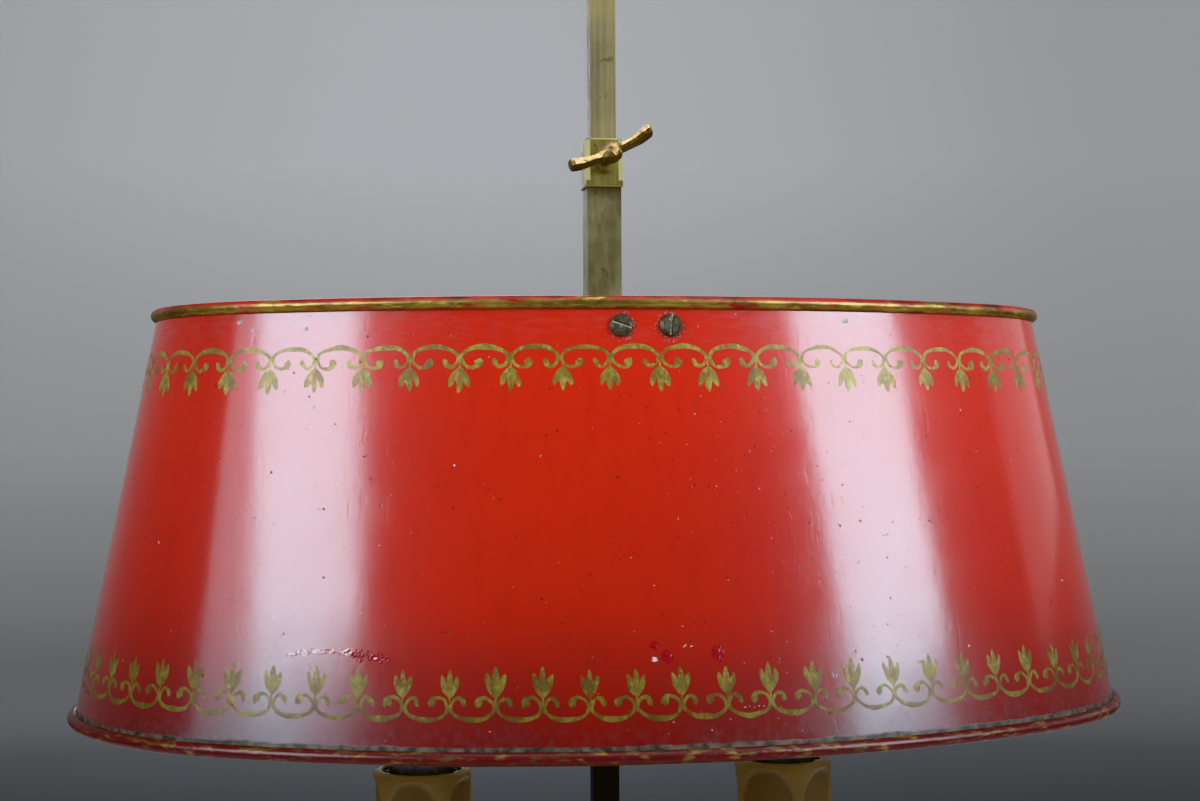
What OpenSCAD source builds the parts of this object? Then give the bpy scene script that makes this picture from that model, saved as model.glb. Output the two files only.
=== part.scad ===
// Two-light bouillotte lamp: a painted oval tin shade slides on a square brass rod and is
// held there by a collar and a winged key; two scroll arms carry bayonet lampholders in
// wax-drip candle sleeves; the whole stands on a weighted dish base.
// Millimetres, +Z up, the origin on the table under the centre of the base. The shade is
// long along X, and the key and the switch knob face -Y.

/* [Shade] */
// Length of the oval over the centre line of its bottom bead
shade_l = 360; // [350:1:370]
// Width of the oval over the centre line of its bottom bead
shade_w = 234; // [228:1:240]
// Height from bottom bead to top bead
shade_h = 133; // [128:1:138]
// How far the wall leans in over that height
shade_flare = 27; // [24:0.5:30]
// Radius of the oval's two end arcs at the bottom bead
end_r = 95; // [92:1:98]
// Thickness of the painted sheet
sheet_t = 0.8; // [0.7:0.1:1]
// Radius of the rolled beads
bead_r = 2.1; // [2:0.1:2.4]
// Radius of the iron wire inside each bead
wire_r = 1.25; // [1:0.05:1.25]
// Height of the bottom bead above the table, as the shade is set
shade_z = 312; // [306:1:318]

/* [Stem and clamp] */
// Side of the square rod
rod_w = 9; // [8.5:0.1:9.2]
// Height at which the rod ends under the finial
rod_top = 566; // [560:1:575]
// Outer side of the square tube that slides on the rod
tube_w = 12; // [11.8:0.1:12.2]
// Gap on each side between the rod and what slides on it
slide_gap = 0.15; // [0.1:0.05:0.2]
// Outer side of the clamp collar
collar_w = 13.6; // [13.2:0.1:14]
// Height of the clamp collar
collar_h = 17; // [16:0.5:18]
// Height of the collar's underside above the bottom bead
collar_rise = 179; // [176:1:180]
// Span of the winged key over its two tips
key_span = 31; // [28:0.5:32]
// Tilt of the key's wings from level, as it is set
key_turn = 24.5; // [0:0.5:45]

/* [Arms and candles] */
// Distance of each candle from the stem
candle_x = 64; // [60:1:66]
// Outer radius of the wax-drip sleeves
sleeve_r = 17; // [16.6:0.1:17.2]
// Drop of the sleeves' tops below the bottom bead
sleeve_drop = 23.5; // [22:0.5:25]
// Outer radius of the drip pans
pan_r = 29; // [26:0.5:30]
// Height of the arms where they leave the hub
arm_z = 172.5; // [172:0.1:173]

/* [Base] */
// Radius of the dish to the middle of its rim bead
dish_r = 104; // [100:1:108]
// Height of that bead above the table
dish_z = 36; // [33:1:38]
// Radius of the round foot under the dish
foot_r = 97; // [96:0.5:98]
// Number of flutes on the column
flutes = 12; // [8:1:14]

/* [Hidden] */
$fn = 96;
eps = 0.01;       // lets a cut pass clean through a face
fit = 0.05;       // gap round a pin or a thread in its hole
drawn = 0.04;     // how much finer the drawn side arcs and bends are than their neighbours

// The four-centre oval: end arcs about (+-end_c, 0), side arcs about (0, +-side_k)
end_c = shade_l / 2 - end_r;
side_r = (end_c * end_c + shade_w * shade_w / 4 - end_r * end_r) / (shade_w - 2 * end_r);
side_k = side_r - shade_w / 2;
end_half = atan(side_k / end_c);
side_half = 90 - end_half;
lean = atan(shade_flare / shade_h);

// Heights of the base, the column and the hub
felt_t = 2;
foot_top = 16;
recess_z = 6.5;                 // roof of the weight's recess, over the washer
foot_ring_r = foot_r - 11.5;    // inside of the foot's ring, round the weight
dish_t = 1.5;
dish_floor = foot_top + dish_t;
column_z0 = 52;
shaft_z0 = 60;
shaft_z1 = 142;
hub_z0 = 152;
hub_z1 = 190;
hub_floor = hub_z0 + 6;
cap_top = 204;
hub_r = 24;
hub_cavity_r = 20;
tie_r = 5;
tie_bore = tie_r + 0.3;
shaft_r = 9.5;
inlet_z = 8.5;    // height of the cord bushing's axis
inlet_r = 3.3;    // bore of the cord bushing
bushing_face = 94;

// The path of an arm: out of the hub, down round arm_r1, then up round arm_r2
arm_r = 4.5;
arm_bore = 2.6;
lead_r = 1.8;
arm_x0 = 25;
arm_x1 = 28;
arm_dip = 65;
arm_r1 = 13;
arm_r2 = (candle_x - arm_x1 - arm_r1 * sin(arm_dip)) / (1 + sin(arm_dip));
arm_c1 = [arm_x1, arm_z - arm_r1];
arm_c2 = [arm_x1 + (arm_r1 + arm_r2) * sin(arm_dip),
          arm_z - arm_r1 + (arm_r1 + arm_r2) * cos(arm_dip)];

// Heights of the candle stack
cup_z0 = 182;
pan_z = 199;
pan_t = 1.2;
sleeve_top = shade_z - sleeve_drop;
riser_z0 = 178;
holder_z0 = sleeve_top - 42;
barrel_z0 = holder_z0 + 6;
insulator_z = barrel_z0 + 9;
bulb_z0 = insulator_z + 12;
bulb_cap_h = 25;
bulb_cap_r = 11;
barrel_r = 11.4;
glass_z0 = bulb_z0 + bulb_cap_h;
pin_z = bulb_z0 + 6.5;

// Parts that travel with the shade
bar_t = 2.5;
bar_top = shade_h - 2;
screw_z = shade_h - 7.1;
screw_gap = 15.2;
tube_drop = 15;   // how far the tube's end lies under the top bead
seat_depth = 1.8; // how deep the tube sits in the collar
screw_r = 2;
key_z = collar_rise + 9.7;
key_reach = 16;   // from the rod's face to the key's boss

// ---------------------------------------------------------------- shared shapes

// Turns two 2D profiles (x = outward offset from the bottom bead, y = height) round the
// oval: the first on its end arcs, the second on its side arcs
module oval_sweep() {
    for (turn = [0, 180]) rotate([0, 0, turn]) {
        translate([end_c, 0, 0]) rotate([0, 0, -end_half])
            rotate_extrude(angle = 2 * end_half) translate([end_r, 0]) children(0);
        side_sweep(side_half) children(1);
    }
}

// The same profile on the -Y side arc alone, over a half angle about the middle
module side_sweep(half) {
    translate([0, side_k, 0]) rotate([0, 0, -90 - half])
        rotate_extrude(angle = 2 * half) translate([side_r, 0]) children();
}

// A round bar bent about the Y axis: centre c in the XZ plane, from angle a0 to a1
module bend(c, bend_r, a0, a1, bar_r) {
    translate([c[0], 0, c[1]]) rotate([90, 0, 0]) rotate([0, 0, a0])
        rotate_extrude(angle = a1 - a0, $fn = 48) translate([bend_r, 0]) circle(bar_r, $fn = 48);
}

module ring(r_out, r_in, z0, z1) {
    translate([0, 0, z0]) difference() {
        cylinder(r = r_out, h = z1 - z0);
        translate([0, 0, -eps]) cylinder(r = r_in, h = z1 - z0 + 2 * eps);
    }
}

module hex_nut(flats, bore_r, h) {
    difference() {
        cylinder(r = flats / sqrt(3), h = h, $fn = 6);
        translate([0, 0, -eps]) cylinder(r = bore_r, h = h + 2 * eps);
    }
}

// Points of a turned outline between two radii, following a smooth S in z
function ogee(r0, z0, r1, z1, n = 8) =
    [for (i = [0 : n]) [r0 + (r1 - r0) * (1 - cos(180 * i / n)) / 2, z0 + (z1 - z0) * i / n]];

// Puts a child along -Y through the height z
module facing_front(z) {
    translate([0, 0, z]) rotate([90, 0, 0]) children();
}

// ---------------------------------------------------------------- base

module felt_pad() {
    color("darkolivegreen") ring(foot_r - 3, 16, 0, felt_t);
}

module base_weight() {
    color("dimgray") difference() {
        ring(foot_ring_r - 0.5, tie_bore, felt_t, foot_top);
        translate([0, 0, felt_t - eps]) cylinder(r = 15, h = recess_z - felt_t + eps);
        translate([-4.5, 0, felt_t - eps]) cube([9, foot_r, 10.5]);
    }
}

module base_foot() {
    color("goldenrod") difference() {
        rotate_extrude() {
            polygon([[foot_ring_r, felt_t], [foot_r - 2, felt_t], [foot_r - 2, 3.5],
                     [foot_r - 4.5, foot_top], [foot_ring_r, foot_top]]);
            translate([foot_r - 4, 6.5]) circle(4);
            translate([foot_r - 5, 13.5]) circle(2.4);
        }
        translate([0, 0, foot_top]) cylinder(r = foot_r + 5, h = 5);
        translate([0, foot_r - 20, inlet_z]) rotate([-90, 0, 0]) cylinder(r = 4.6, h = 40);
        translate([0, bushing_face, inlet_z]) rotate([-90, 0, 0]) cylinder(r = 6.2, h = 20);
    }
}

module cord_bushing() {
    neck = bushing_face - foot_ring_r;
    color("black") translate([0, foot_ring_r, inlet_z]) rotate([-90, 0, 0]) difference() {
        union() {
            cylinder(r = 4.5, h = neck + 1);
            translate([0, 0, neck]) cylinder(r = 6, h = 2.5);
        }
        translate([0, 0, -eps]) cylinder(r = inlet_r, h = 20);
    }
}

module base_dish() {
    wall = concat(
        [[tie_bore, foot_top]], ogee(foot_r - 5, foot_top, dish_r, dish_z, 10),
        [[dish_r - dish_t, dish_z]],
        [for (p = ogee(dish_r - 1.1 * dish_t, dish_z - 1, foot_r - 6, dish_floor, 10)) p],
        [[tie_bore, dish_floor]]);
    color("goldenrod") rotate_extrude() {
        polygon(wall);
        translate([dish_r, dish_z]) circle(2.3);
        translate([44, dish_floor]) circle(0.9);
    }
}

module tie_tube() {
    color("silver") ring(tie_r, 3.5, 3, 167);
}

module tie_washer() {
    color("silver") ring(11, tie_bore, recess_z - 1.2, recess_z);
}

module tie_nuts() {
    color("silver") {
        translate([0, 0, recess_z - 4.1]) hex_nut(14, tie_r + fit, 2.9);
        translate([0, 0, hub_floor]) hex_nut(14, tie_r + fit, 4);
    }
}

// ---------------------------------------------------------------- column

module column_foot() {
    outline = concat(
        [[tie_bore, dish_floor], [37, dish_floor], [37, 21], [34.5, 22.5]],
        ogee(34.5, 24, 15, 44), [[15, 46], [12.5, 47], [12.5, column_z0], [tie_bore, column_z0]]);
    color("goldenrod") rotate_extrude() {
        polygon(outline);
        translate([35, 22.5]) circle(1.8);
        translate([13.5, 46]) circle(2);
    }
}

module column_base_ring() {
    color("goldenrod") rotate_extrude() {
        translate([tie_bore, column_z0]) square([shaft_r - tie_bore + 1, shaft_z0 - column_z0]);
        translate([shaft_r, column_z0 + 2.6]) circle(2.6);
        translate([shaft_r, column_z0 + 6.4]) circle(1.6);
    }
}

module column_shaft() {
    flute_r = 1.25;
    color("goldenrod") difference() {
        ring(shaft_r, tie_bore, shaft_z0, shaft_z1);
        for (i = [0 : flutes - 1]) rotate([0, 0, 360 * (i + 0.5) / flutes])
            translate([shaft_r + 0.35, 0, 0]) {
                translate([0, 0, shaft_z0 + 6])
                    cylinder(r = flute_r, h = shaft_z1 - shaft_z0 - 12, $fn = 32);
                for (z = [shaft_z0 + 6, shaft_z1 - 6])
                    translate([0, 0, z]) sphere(flute_r, $fn = 32);
            }
    }
}

module column_capital() {
    color("goldenrod") rotate_extrude() {
        polygon(concat([[tie_bore, shaft_z1], [shaft_r, shaft_z1]],
                       ogee(shaft_r + 0.5, shaft_z1 + 2, 14, hub_z0 - 2, 6),
                       [[14, hub_z0], [tie_bore, hub_z0]]));
        translate([shaft_r, shaft_z1 + 1.4]) circle(1.4);
    }
}

// ---------------------------------------------------------------- hub and stem

module hub_body() {
    n = 12;
    skin = 1.9;
    function belly(z) = let (t = (z - hub_z0) / (hub_z1 - hub_z0))
        hub_r - 9 * pow(1 - t, 3.4) - 2.2 * pow(t, 5);
    color("goldenrod") difference() {
        union() {
            rotate_extrude() polygon(concat([[0, hub_z0], [13.2, hub_z0]],
                [for (i = [0 : n]) let (z = hub_z0 + 1 + (hub_z1 - hub_z0 - 3) * i / n)
                    [belly(z), z]],
                [[hub_r - 0.9, hub_z1 - 1.6], [hub_r - 0.9, hub_z1], [0, hub_z1]]));
            for (turn = [0, 90, -90]) rotate([0, 0, turn])
                facing_front(arm_z) translate([0, 0, hub_cavity_r])
                    cylinder(r = 8, h = arm_x0 - hub_cavity_r);
        }
        rotate_extrude() polygon(concat([[0, hub_floor]],
            [for (i = [0 : n]) let (z = hub_floor + (hub_z1 - 4 - hub_floor) * i / n)
                [min(belly(z) - skin, hub_cavity_r), z]],
            [[hub_cavity_r, hub_z1 - 3], [hub_cavity_r, hub_z1 + 1], [0, hub_z1 + 1]]));
        translate([0, 0, hub_z0 - 1]) cylinder(r = tie_bore, h = 20);
        rotate([0, 90, 0]) translate([-arm_z, 0, -40]) cylinder(r = 4 + fit, h = 80);
        facing_front(arm_z) cylinder(r = 4.8 + fit, h = 40);
    }
}

module hub_cap() {
    color("goldenrod") difference() {
        rotate_extrude() polygon(concat(
            [[0, hub_z1 - 3], [hub_cavity_r - fit, hub_z1 - 3], [hub_cavity_r - fit, hub_z1],
             [hub_r - 0.5, hub_z1], [hub_r - 0.5, hub_z1 + 1.5]],
            ogee(hub_r - 2, hub_z1 + 2.5, 9, cap_top - 3), [[9, cap_top], [0, cap_top]]));
        translate([0, 0, hub_z1 - 10]) cylinder(r = 4 + fit, h = 40);
    }
}

module stem_rod() {
    edge = 0.4;
    color("darkgoldenrod") {
        translate([0, 0, cap_top]) linear_extrude(rod_top - cap_top) polygon([
            for (q = [0 : 3]) for (s = [-1, 1])
                let (a = rod_w / 2, b = (rod_w / 2 - edge) * s)
                [[a, b], [-b, a], [-a, -b], [b, -a]][q]]);
        translate([0, 0, 178]) cylinder(r = 4, h = cap_top - 178 + 1);
        translate([0, 0, rod_top - 1]) cylinder(r = 3, h = 9);
    }
}

module stem_nut() {
    color("silver") translate([0, 0, hub_z1 - 8.5]) hex_nut(13, 4 + fit, 5.5);
}

module finial() {
    ring_z = rod_top + 36;
    color("goldenrod") difference() {
        union() {
            translate([0, 0, rod_top]) rotate_extrude() {
                polygon(concat([[0, 0], [9, 0], [9, 2.2]], ogee(7.5, 3, 4, 9, 6),
                               ogee(4, 10, 7.5, 15, 6), ogee(7.5, 17, 3, 23, 6), [[0, 23]]));
                translate([4, 9.5]) circle(1.3);
            }
            translate([0, 0, ring_z]) rotate([90, 0, 0]) rotate_extrude()
                translate([12, 0]) circle(2.4);
        }
        translate([0, 0, rod_top - eps]) cylinder(r = 3 + fit, h = 9);
    }
}

// ---------------------------------------------------------------- switch

module switch_body() {
    color("black") difference() {
        union() {
            translate([-6.5, -18.5, arm_z - 7]) cube([13, 8, 14]);
            facing_front(arm_z) translate([0, 0, 18]) cylinder(r = 4.8, h = 11);
        }
        facing_front(arm_z) translate([0, 0, 12]) cylinder(r = 2.45, h = 30);
    }
}

module switch_nut() {
    color("goldenrod") facing_front(arm_z) translate([0, 0, arm_x0]) difference() {
        cylinder(r = 7.5, h = 2.6);
        translate([0, 0, -1]) cylinder(r = 4.8 + fit, h = 5);
    }
}

module switch_knob() {
    color("black") facing_front(arm_z) {
        translate([0, 0, 12.5]) cylinder(r = 2.4, h = 20);
        difference() {
            translate([0, 0, 31]) rotate_extrude() polygon(concat(
                [[0, 0], [6, 0]], ogee(6, 0.5, 8, 6, 5), [[8, 9], [6.8, 10.5], [0, 11]]));
            for (i = [0 : 15]) rotate([0, 0, 22.5 * i]) translate([8.6, 0, 36])
                cylinder(r = 1, h = 10, $fn = 24);
        }
    }
}

module splice_caps() {
    color("white") for (s = [-1, 1]) translate([4.5 * s, 0, arm_z]) rotate([0, 90 * s, 0])
        difference() {
            cylinder(r1 = 2.2, r2 = 3.2, h = 9);
            translate([0, 0, 3]) cylinder(r = lead_r + 0.1, h = 10);
        }
}

// ---------------------------------------------------------------- arms

// The bent run of an arm at a given bar radius, on the +X side. Each length laps a little
// into the next, and their radii differ by a hair so that no two faces coincide.
module arm_run(bar_r, x0, z1) {
    lap = 0.3;
    translate([x0, 0, arm_z]) rotate([0, 90, 0]) cylinder(r = bar_r, h = arm_x1 - x0 + lap);
    bend(arm_c1, arm_r1, 90 - arm_dip, 90, bar_r - drawn);
    bend(arm_c2, arm_r2, 270 - arm_dip - lap / arm_r2 * 180 / PI, 360, bar_r + drawn);
    translate([candle_x, 0, arm_c2[1] - lap]) cylinder(r = bar_r, h = z1 - arm_c2[1] + lap);
}

module arm(side) {
    low = arm_c2[1] - arm_r2;
    curl_r = 8.5;
    curl = [arm_c2[0] - 3, low - curl_r - 1.5];
    color("goldenrod") mirror([side < 0 ? 1 : 0, 0, 0]) difference() {
        union() {
            arm_run(arm_r, arm_x0, cup_z0 - 1);
            translate([hub_cavity_r + 0.5, 0, arm_z]) rotate([0, 90, 0])
                cylinder(r = 4, h = arm_x0 - hub_cavity_r);
            translate([arm_x0, 0, arm_z]) rotate([0, 90, 0]) cylinder(r = 6.8, h = 2);
            translate([candle_x, 0, cup_z0 - 6]) cylinder(r = 7.5, h = 6);
            bend(curl, curl_r, 80, 330, 2.2);
            translate([curl[0] + curl_r * cos(330), 0, curl[1] + curl_r * sin(330)])
                sphere(3.2);
        }
        arm_run(arm_bore, arm_x0 - 6, cup_z0 + 1);
        translate([candle_x, 0, riser_z0]) cylinder(r = 5 + fit, h = 10);
    }
}

module arm_lead(side) {
    color("ivory") mirror([side < 0 ? 1 : 0, 0, 0]) arm_run(lead_r, 8, insulator_z - 0.5);
}

// ---------------------------------------------------------------- candles

module at_candle(side) {
    translate([side * candle_x, 0, 0]) children();
}

module riser(side) {
    color("silver") at_candle(side) ring(5, 3.4, riser_z0, holder_z0 + 5);
}

module cup(side) {
    color("goldenrod") at_candle(side) difference() {
        rotate_extrude() {
            polygon(concat([[0, cup_z0], [8, cup_z0], [8, cup_z0 + 1]],
                           ogee(7, cup_z0 + 2, 19, pan_z - 4), [[20, pan_z - 3], [20, pan_z], [0, pan_z]]));
            translate([7.5, cup_z0 + 2]) circle(1.4);
        }
        translate([0, 0, cup_z0 - 1]) cylinder(r = tie_bore, h = 30);
        translate([0, 0, pan_z - 4]) cylinder(r = 15, h = 10);
    }
}

module drip_pan(side) {
    color("goldenrod") at_candle(side) rotate_extrude() {
        polygon([[tie_bore, pan_z], [19, pan_z], [24, pan_z + 1.2], [pan_r - 1, pan_z + 4.6],
                 [pan_r - 0.4, pan_z + 5.6], [pan_r - 1.6, pan_z + 5.8], [24, pan_z + pan_t + 1.4],
                 [19, pan_z + pan_t], [tie_bore, pan_z + pan_t]]);
        translate([pan_r - 1.2, pan_z + 5.6]) circle(1.3);
    }
}

module sleeve(side) {
    bare_r = sleeve_r - 1.2;
    bottom = pan_z + pan_t;
    // Each wax run: its angle, its half width and the height of its rounded end
    runs = [[-152, 4.2, 262], [-118, 3.4, 243], [-62, 3.6, 251], [-14, 4.6, 238],
            [38, 3.8, 256], [82, 4.4, 246], [134, 3.6, 258], [172, 3.8, 240]];
    color("wheat") at_candle(side) difference() {
        union() {
            translate([0, 0, bottom]) cylinder(r = bare_r, h = sleeve_top - bottom - 2);
            translate([0, 0, sleeve_top - 8]) cylinder(r = sleeve_r, h = 6);
            translate([0, 0, sleeve_top - 2]) cylinder(r1 = sleeve_r, r2 = sleeve_r - 1.2, h = 2);
            for (w = runs) intersection() {
                translate([0, 0, bottom]) cylinder(r = sleeve_r, h = sleeve_top - bottom - 3);
                rotate([0, 0, w[0]]) translate([8, 0, 0]) rotate([90, 0, 90])
                    linear_extrude(12) {
                        translate([0, w[2]]) circle(w[1]);
                        translate([-w[1], w[2]]) square([2 * w[1], sleeve_top - 4 - w[2]]);
                    }
            }
        }
        translate([0, 0, bottom - 1]) cylinder(r = sleeve_r - 2.7, h = sleeve_top - bottom - 2);
        translate([0, 0, bottom]) cylinder(r = 13.35, h = 200);
    }
}

module holder_cap(side) {
    color("goldenrod") at_candle(side) translate([0, 0, holder_z0]) difference() {
        rotate_extrude() polygon([[0, 0], [7, 0], [8, 1], [8, 3], [12, 5], [13.2, 7], [13.2, 14],
                                  [0, 14]]);
        translate([0, 0, -1]) cylinder(r = 5 + fit, h = 20);
        translate([0, 0, barrel_z0 - holder_z0]) cylinder(r = barrel_r + 0.8 + fit, h = 20);
    }
}

module insulator(side) {
    color("white") at_candle(side) difference() {
        ring(barrel_r - fit, 1.5, insulator_z, insulator_z + 6);
        for (s = [-1, 1]) translate([5.5 * s, 0, insulator_z - 1])
            cylinder(r = 2 + fit, h = 12);
    }
}

module plungers(side) {
    color("silver") at_candle(side) for (s = [-1, 1]) translate([5.5 * s, 0, insulator_z])
        cylinder(r = 2, h = bulb_z0 - insulator_z);
}

module barrel(side) {
    hook = 28;      // degrees that the lamp's pins turn
    slot_w = 2.6;
    rim_z = sleeve_top - 2.6;
    color("gold") at_candle(side) difference() {
        union() {
            ring(barrel_r + 0.8, barrel_r, barrel_z0, sleeve_top - 0.2);
            ring(13.1, barrel_r + 0.4, rim_z, sleeve_top - 0.2);
        }
        for (turn = [0, 180]) rotate([0, 0, turn]) {
            translate([10, -slot_w / 2, pin_z - 1.4]) cube([5, slot_w, 40]);
            translate([0, 0, pin_z - 1.4]) rotate([0, 0, 0])
                rotate_extrude(angle = hook) translate([10, 0]) square([5, slot_w]);
            rotate([0, 0, hook]) translate([10, -slot_w / 2, pin_z - 1.4])
                cube([5, slot_w, slot_w + 1.2]);
        }
    }
}

module bulb_cap(side) {
    pin_turn = 28;
    color("silver") at_candle(side) {
        difference() {
            translate([0, 0, bulb_z0]) cylinder(r = bulb_cap_r, h = bulb_cap_h);
            translate([0, 0, bulb_z0 + 3]) cylinder(r = bulb_cap_r - 0.5, h = 40);
        }
        rotate([0, 0, pin_turn]) translate([0, 0, pin_z + 0.6]) rotate([0, 90, 0])
            for (s = [-1, 1]) translate([0, 0, s * 11.9 - 1.1]) cylinder(r = 1, h = 2.2);
    }
}

// A candle-flame bulb: a straight neck in the cap, a full belly low down, a long taper
module bulb_glass(side) {
    glass_t = 0.8;
    glass_h = 74;
    neck_r = 10.2;
    n = 22;
    function flame(t) = neck_r * pow(1 - t, 1.5) + 12 * sin(180 * pow(t, 0.62)) * pow(1 - t, 0.28);
    skin = [for (i = [0 : n]) let (t = i / n) [max(flame(t), eps), glass_z0 + 0.4 + glass_h * t]];
    core = [for (i = [n : -1 : 0]) let (t = i / n)
        [max(flame(t) - glass_t, 0), glass_z0 + 0.4 + (glass_h - 2 * glass_t) * t]];
    color("whitesmoke") at_candle(side) rotate_extrude() polygon(concat(
        [[neck_r, glass_z0 - 3]], skin, core, [[neck_r - glass_t, glass_z0 - 3]]));
}

// ---------------------------------------------------------------- shade

// Section of the painted sheet: the leaning wall and a bead rolled outwards round a wire
// at each edge. thin takes that much off every face.
module sheet_section(thin) {
    out = -0.2 - thin;
    inner = -0.2 - sheet_t + thin;
    difference() {
        union() {
            polygon([[out, 0], [out - shade_flare, shade_h],
                     [inner - shade_flare, shade_h], [inner, 0]]);
            circle(bead_r - thin);
            translate([-shade_flare, shade_h]) circle(bead_r - thin);
        }
        circle(wire_r + fit + thin);
        translate([-shade_flare, shade_h]) circle(wire_r + fit + thin);
    }
}

// Runs a child along the line of a shade screw: z outwards, square to the leaning wall
module at_screw(x, front) {
    r_here = side_r - shade_flare * screw_z / shade_h - 0.2;
    rotate([0, 0, front ? 0 : 180]) translate([0, side_k, shade_z + screw_z])
        rotate([0, 0, asin(x / r_here)]) translate([0, -r_here, 0])
            rotate([90 - lean, 0, 0]) children();
}

module each_screw() {
    for (front = [true, false]) for (s = [-1, 1])
        at_screw(s * screw_gap / 2, front) children();
}

module shade() {
    color("firebrick") difference() {
        translate([0, 0, shade_z]) oval_sweep() {
            sheet_section(0);
            sheet_section(drawn);
        }
        each_screw() translate([0, 0, -5]) cylinder(r = screw_r + 0.1, h = 10, $fn = 32);
    }
}

module edge_wire(z, inset) {
    color("dimgray") translate([0, 0, shade_z + z]) oval_sweep() {
        translate([-inset, 0]) circle(wire_r);
        translate([-inset, 0]) circle(wire_r - drawn);
    }
}

module shade_screws() {
    slots = [-20, 82, 35, -64];
    color("dimgray") for (i = [0 : 3])
        at_screw((i % 2 == 0 ? -1 : 1) * screw_gap / 2, i < 2) difference() {
            union() {
                translate([0, 0, -7]) cylinder(r = screw_r, h = 7.2, $fn = 32);
                translate([0, 0, fit]) cylinder(r = 3.5, h = 0.9);
                translate([0, 0, 0.9 + fit]) cylinder(r1 = 3.5, r2 = 2.5, h = 0.8);
            }
            rotate([0, 0, slots[i]]) translate([-5, -0.45, 1]) cube([10, 0.9, 2]);
        }
}

module shade_nuts() {
    nut_h = 2.4;
    color("darkgoldenrod") each_screw() translate([0, 0, -sheet_t - bar_t - 0.1 - nut_h])
        hex_nut(6.5, screw_r + fit, nut_h);
}

// The strap across the shade, narrow in the middle, with ears that follow the sheet
module crossbar() {
    reach = shade_w / 2 - shade_flare * bar_top / shade_h;
    gap = 0.2 + sheet_t + 0.05;
    ear_half = 13 / (side_r - shade_flare) * 180 / PI;
    z0 = bar_top - 14;
    function lean_in(z) = -shade_flare * z / shade_h - gap;
    color("darkgoldenrod") translate([0, 0, shade_z]) difference() {
        union() {
            for (turn = [0, 180]) rotate([0, 0, turn]) {
                side_sweep(ear_half) polygon([
                    [lean_in(z0), z0], [lean_in(bar_top), bar_top],
                    [lean_in(bar_top) - bar_t, bar_top], [lean_in(z0) - bar_t, z0]]);
                translate([0, 0, bar_top - bar_t]) linear_extrude(bar_t) polygon([
                    [-8, 0], [-8, -reach + 22], [-12.5, -reach + 12], [-12.5, -reach + 3],
                    [12.5, -reach + 3], [12.5, -reach + 12], [8, -reach + 22], [8, 0]]);
            }
        }
        translate([-tube_w / 2, -tube_w / 2, 0]) cube([tube_w, tube_w, 200]);
        translate([0, 0, -shade_z]) each_screw() translate([0, 0, -8])
            cylinder(r = screw_r + fit, h = 10, $fn = 32);
    }
}

module square_tube(outer, inner, z0, z1) {
    translate([0, 0, z0]) linear_extrude(z1 - z0) difference() {
        square(outer, center = true);
        square(inner, center = true);
    }
}

module tube_ferrule() {
    color("darkgoldenrod") translate([0, 0, shade_z])
        square_tube(17, tube_w, bar_top - bar_t - 6, bar_top - bar_t);
}

module slide_tube() {
    color("darkgoldenrod") translate([0, 0, shade_z])
        square_tube(tube_w, rod_w + 2 * slide_gap, shade_h - tube_drop, collar_rise + seat_depth);
}

// A square block with bevelled upright corners over a square lip, and a round boss that
// takes the key's thread
module clamp_collar() {
    z0 = shade_z + collar_rise;
    lip_h = 2.2;
    bevel = 1.7;
    half = collar_w / 2;
    module block(side, cut, h) {
        s = side / 2;
        linear_extrude(h) polygon([[s - cut, -s], [s, -s + cut], [s, s - cut], [s - cut, s],
                                   [-s + cut, s], [-s, s - cut], [-s, -s + cut], [-s + cut, -s]]);
    }
    color("darkgoldenrod") difference() {
        union() {
            translate([0, 0, z0]) hull() {
                translate([0, 0, 0.4]) block(collar_w, 0.3, lip_h - 0.4);
                block(collar_w - 0.8, 0.3, lip_h);
            }
            translate([0, 0, z0 + lip_h - eps]) hull() {
                block(collar_w - 0.2, bevel, collar_h - lip_h - 0.5);
                block(collar_w - 1.2, bevel, collar_h - lip_h + eps);
            }
            facing_front(shade_z + key_z) cylinder(r = 4.9, h = half + 1.3);
            facing_front(shade_z + key_z) cylinder(r = 4.4, h = half + 1.8);
        }
        translate([-tube_w / 2, -tube_w / 2, z0 - 1]) cube([tube_w, tube_w, seat_depth + 1]);
        translate([0, 0, z0]) linear_extrude(collar_h + 1)
            square(rod_w + 2 * slide_gap, center = true);
        facing_front(shade_z + key_z) cylinder(r = 2.5 + fit, h = 20);
    }
}

// One wing of the key, seen along the screw: a plate that swells and lifts to its tip. Each
// station is how far out it stands, its lift up and forward, its thickness and its depth.
module key_wing() {
    stations = [[3, 0, 0, 2.7, 5], [7.6, 0.1, 1.1, 2.5, 6], [11.4, 0.5, 2.5, 2.8, 6.9],
                [key_span / 2 - 0.7, 1.2, 3.7, 3.3, 7]];
    module station(s) translate([s[0], s[1], s[2]]) rotate([90, 0, 90]) linear_extrude(1.4, center = true)
        offset(r = 0.8, $fn = 12) square([s[3] - 1.6, s[4] - 1.6], center = true);
    for (i = [0 : len(stations) - 2]) hull() {
        station(stations[i]);
        station(stations[i + 1]);
    }
}

module clamp_key() {
    color("goldenrod") facing_front(shade_z + key_z) {
        translate([0, 0, rod_w / 2 + 0.1]) cylinder(r = 2.5, h = key_reach);
        translate([0, 0, rod_w / 2 + key_reach]) rotate([0, 0, key_turn]) {
            hull() {
                translate([-1, 0, 0]) sphere(3.5, $fn = 12);
                translate([1, 0, 0]) sphere(3.5, $fn = 12);
            }
            key_wing();
            mirror([1, 0, 0]) key_wing();
        }
    }
}

// ---------------------------------------------------------------- the nodes

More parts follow.
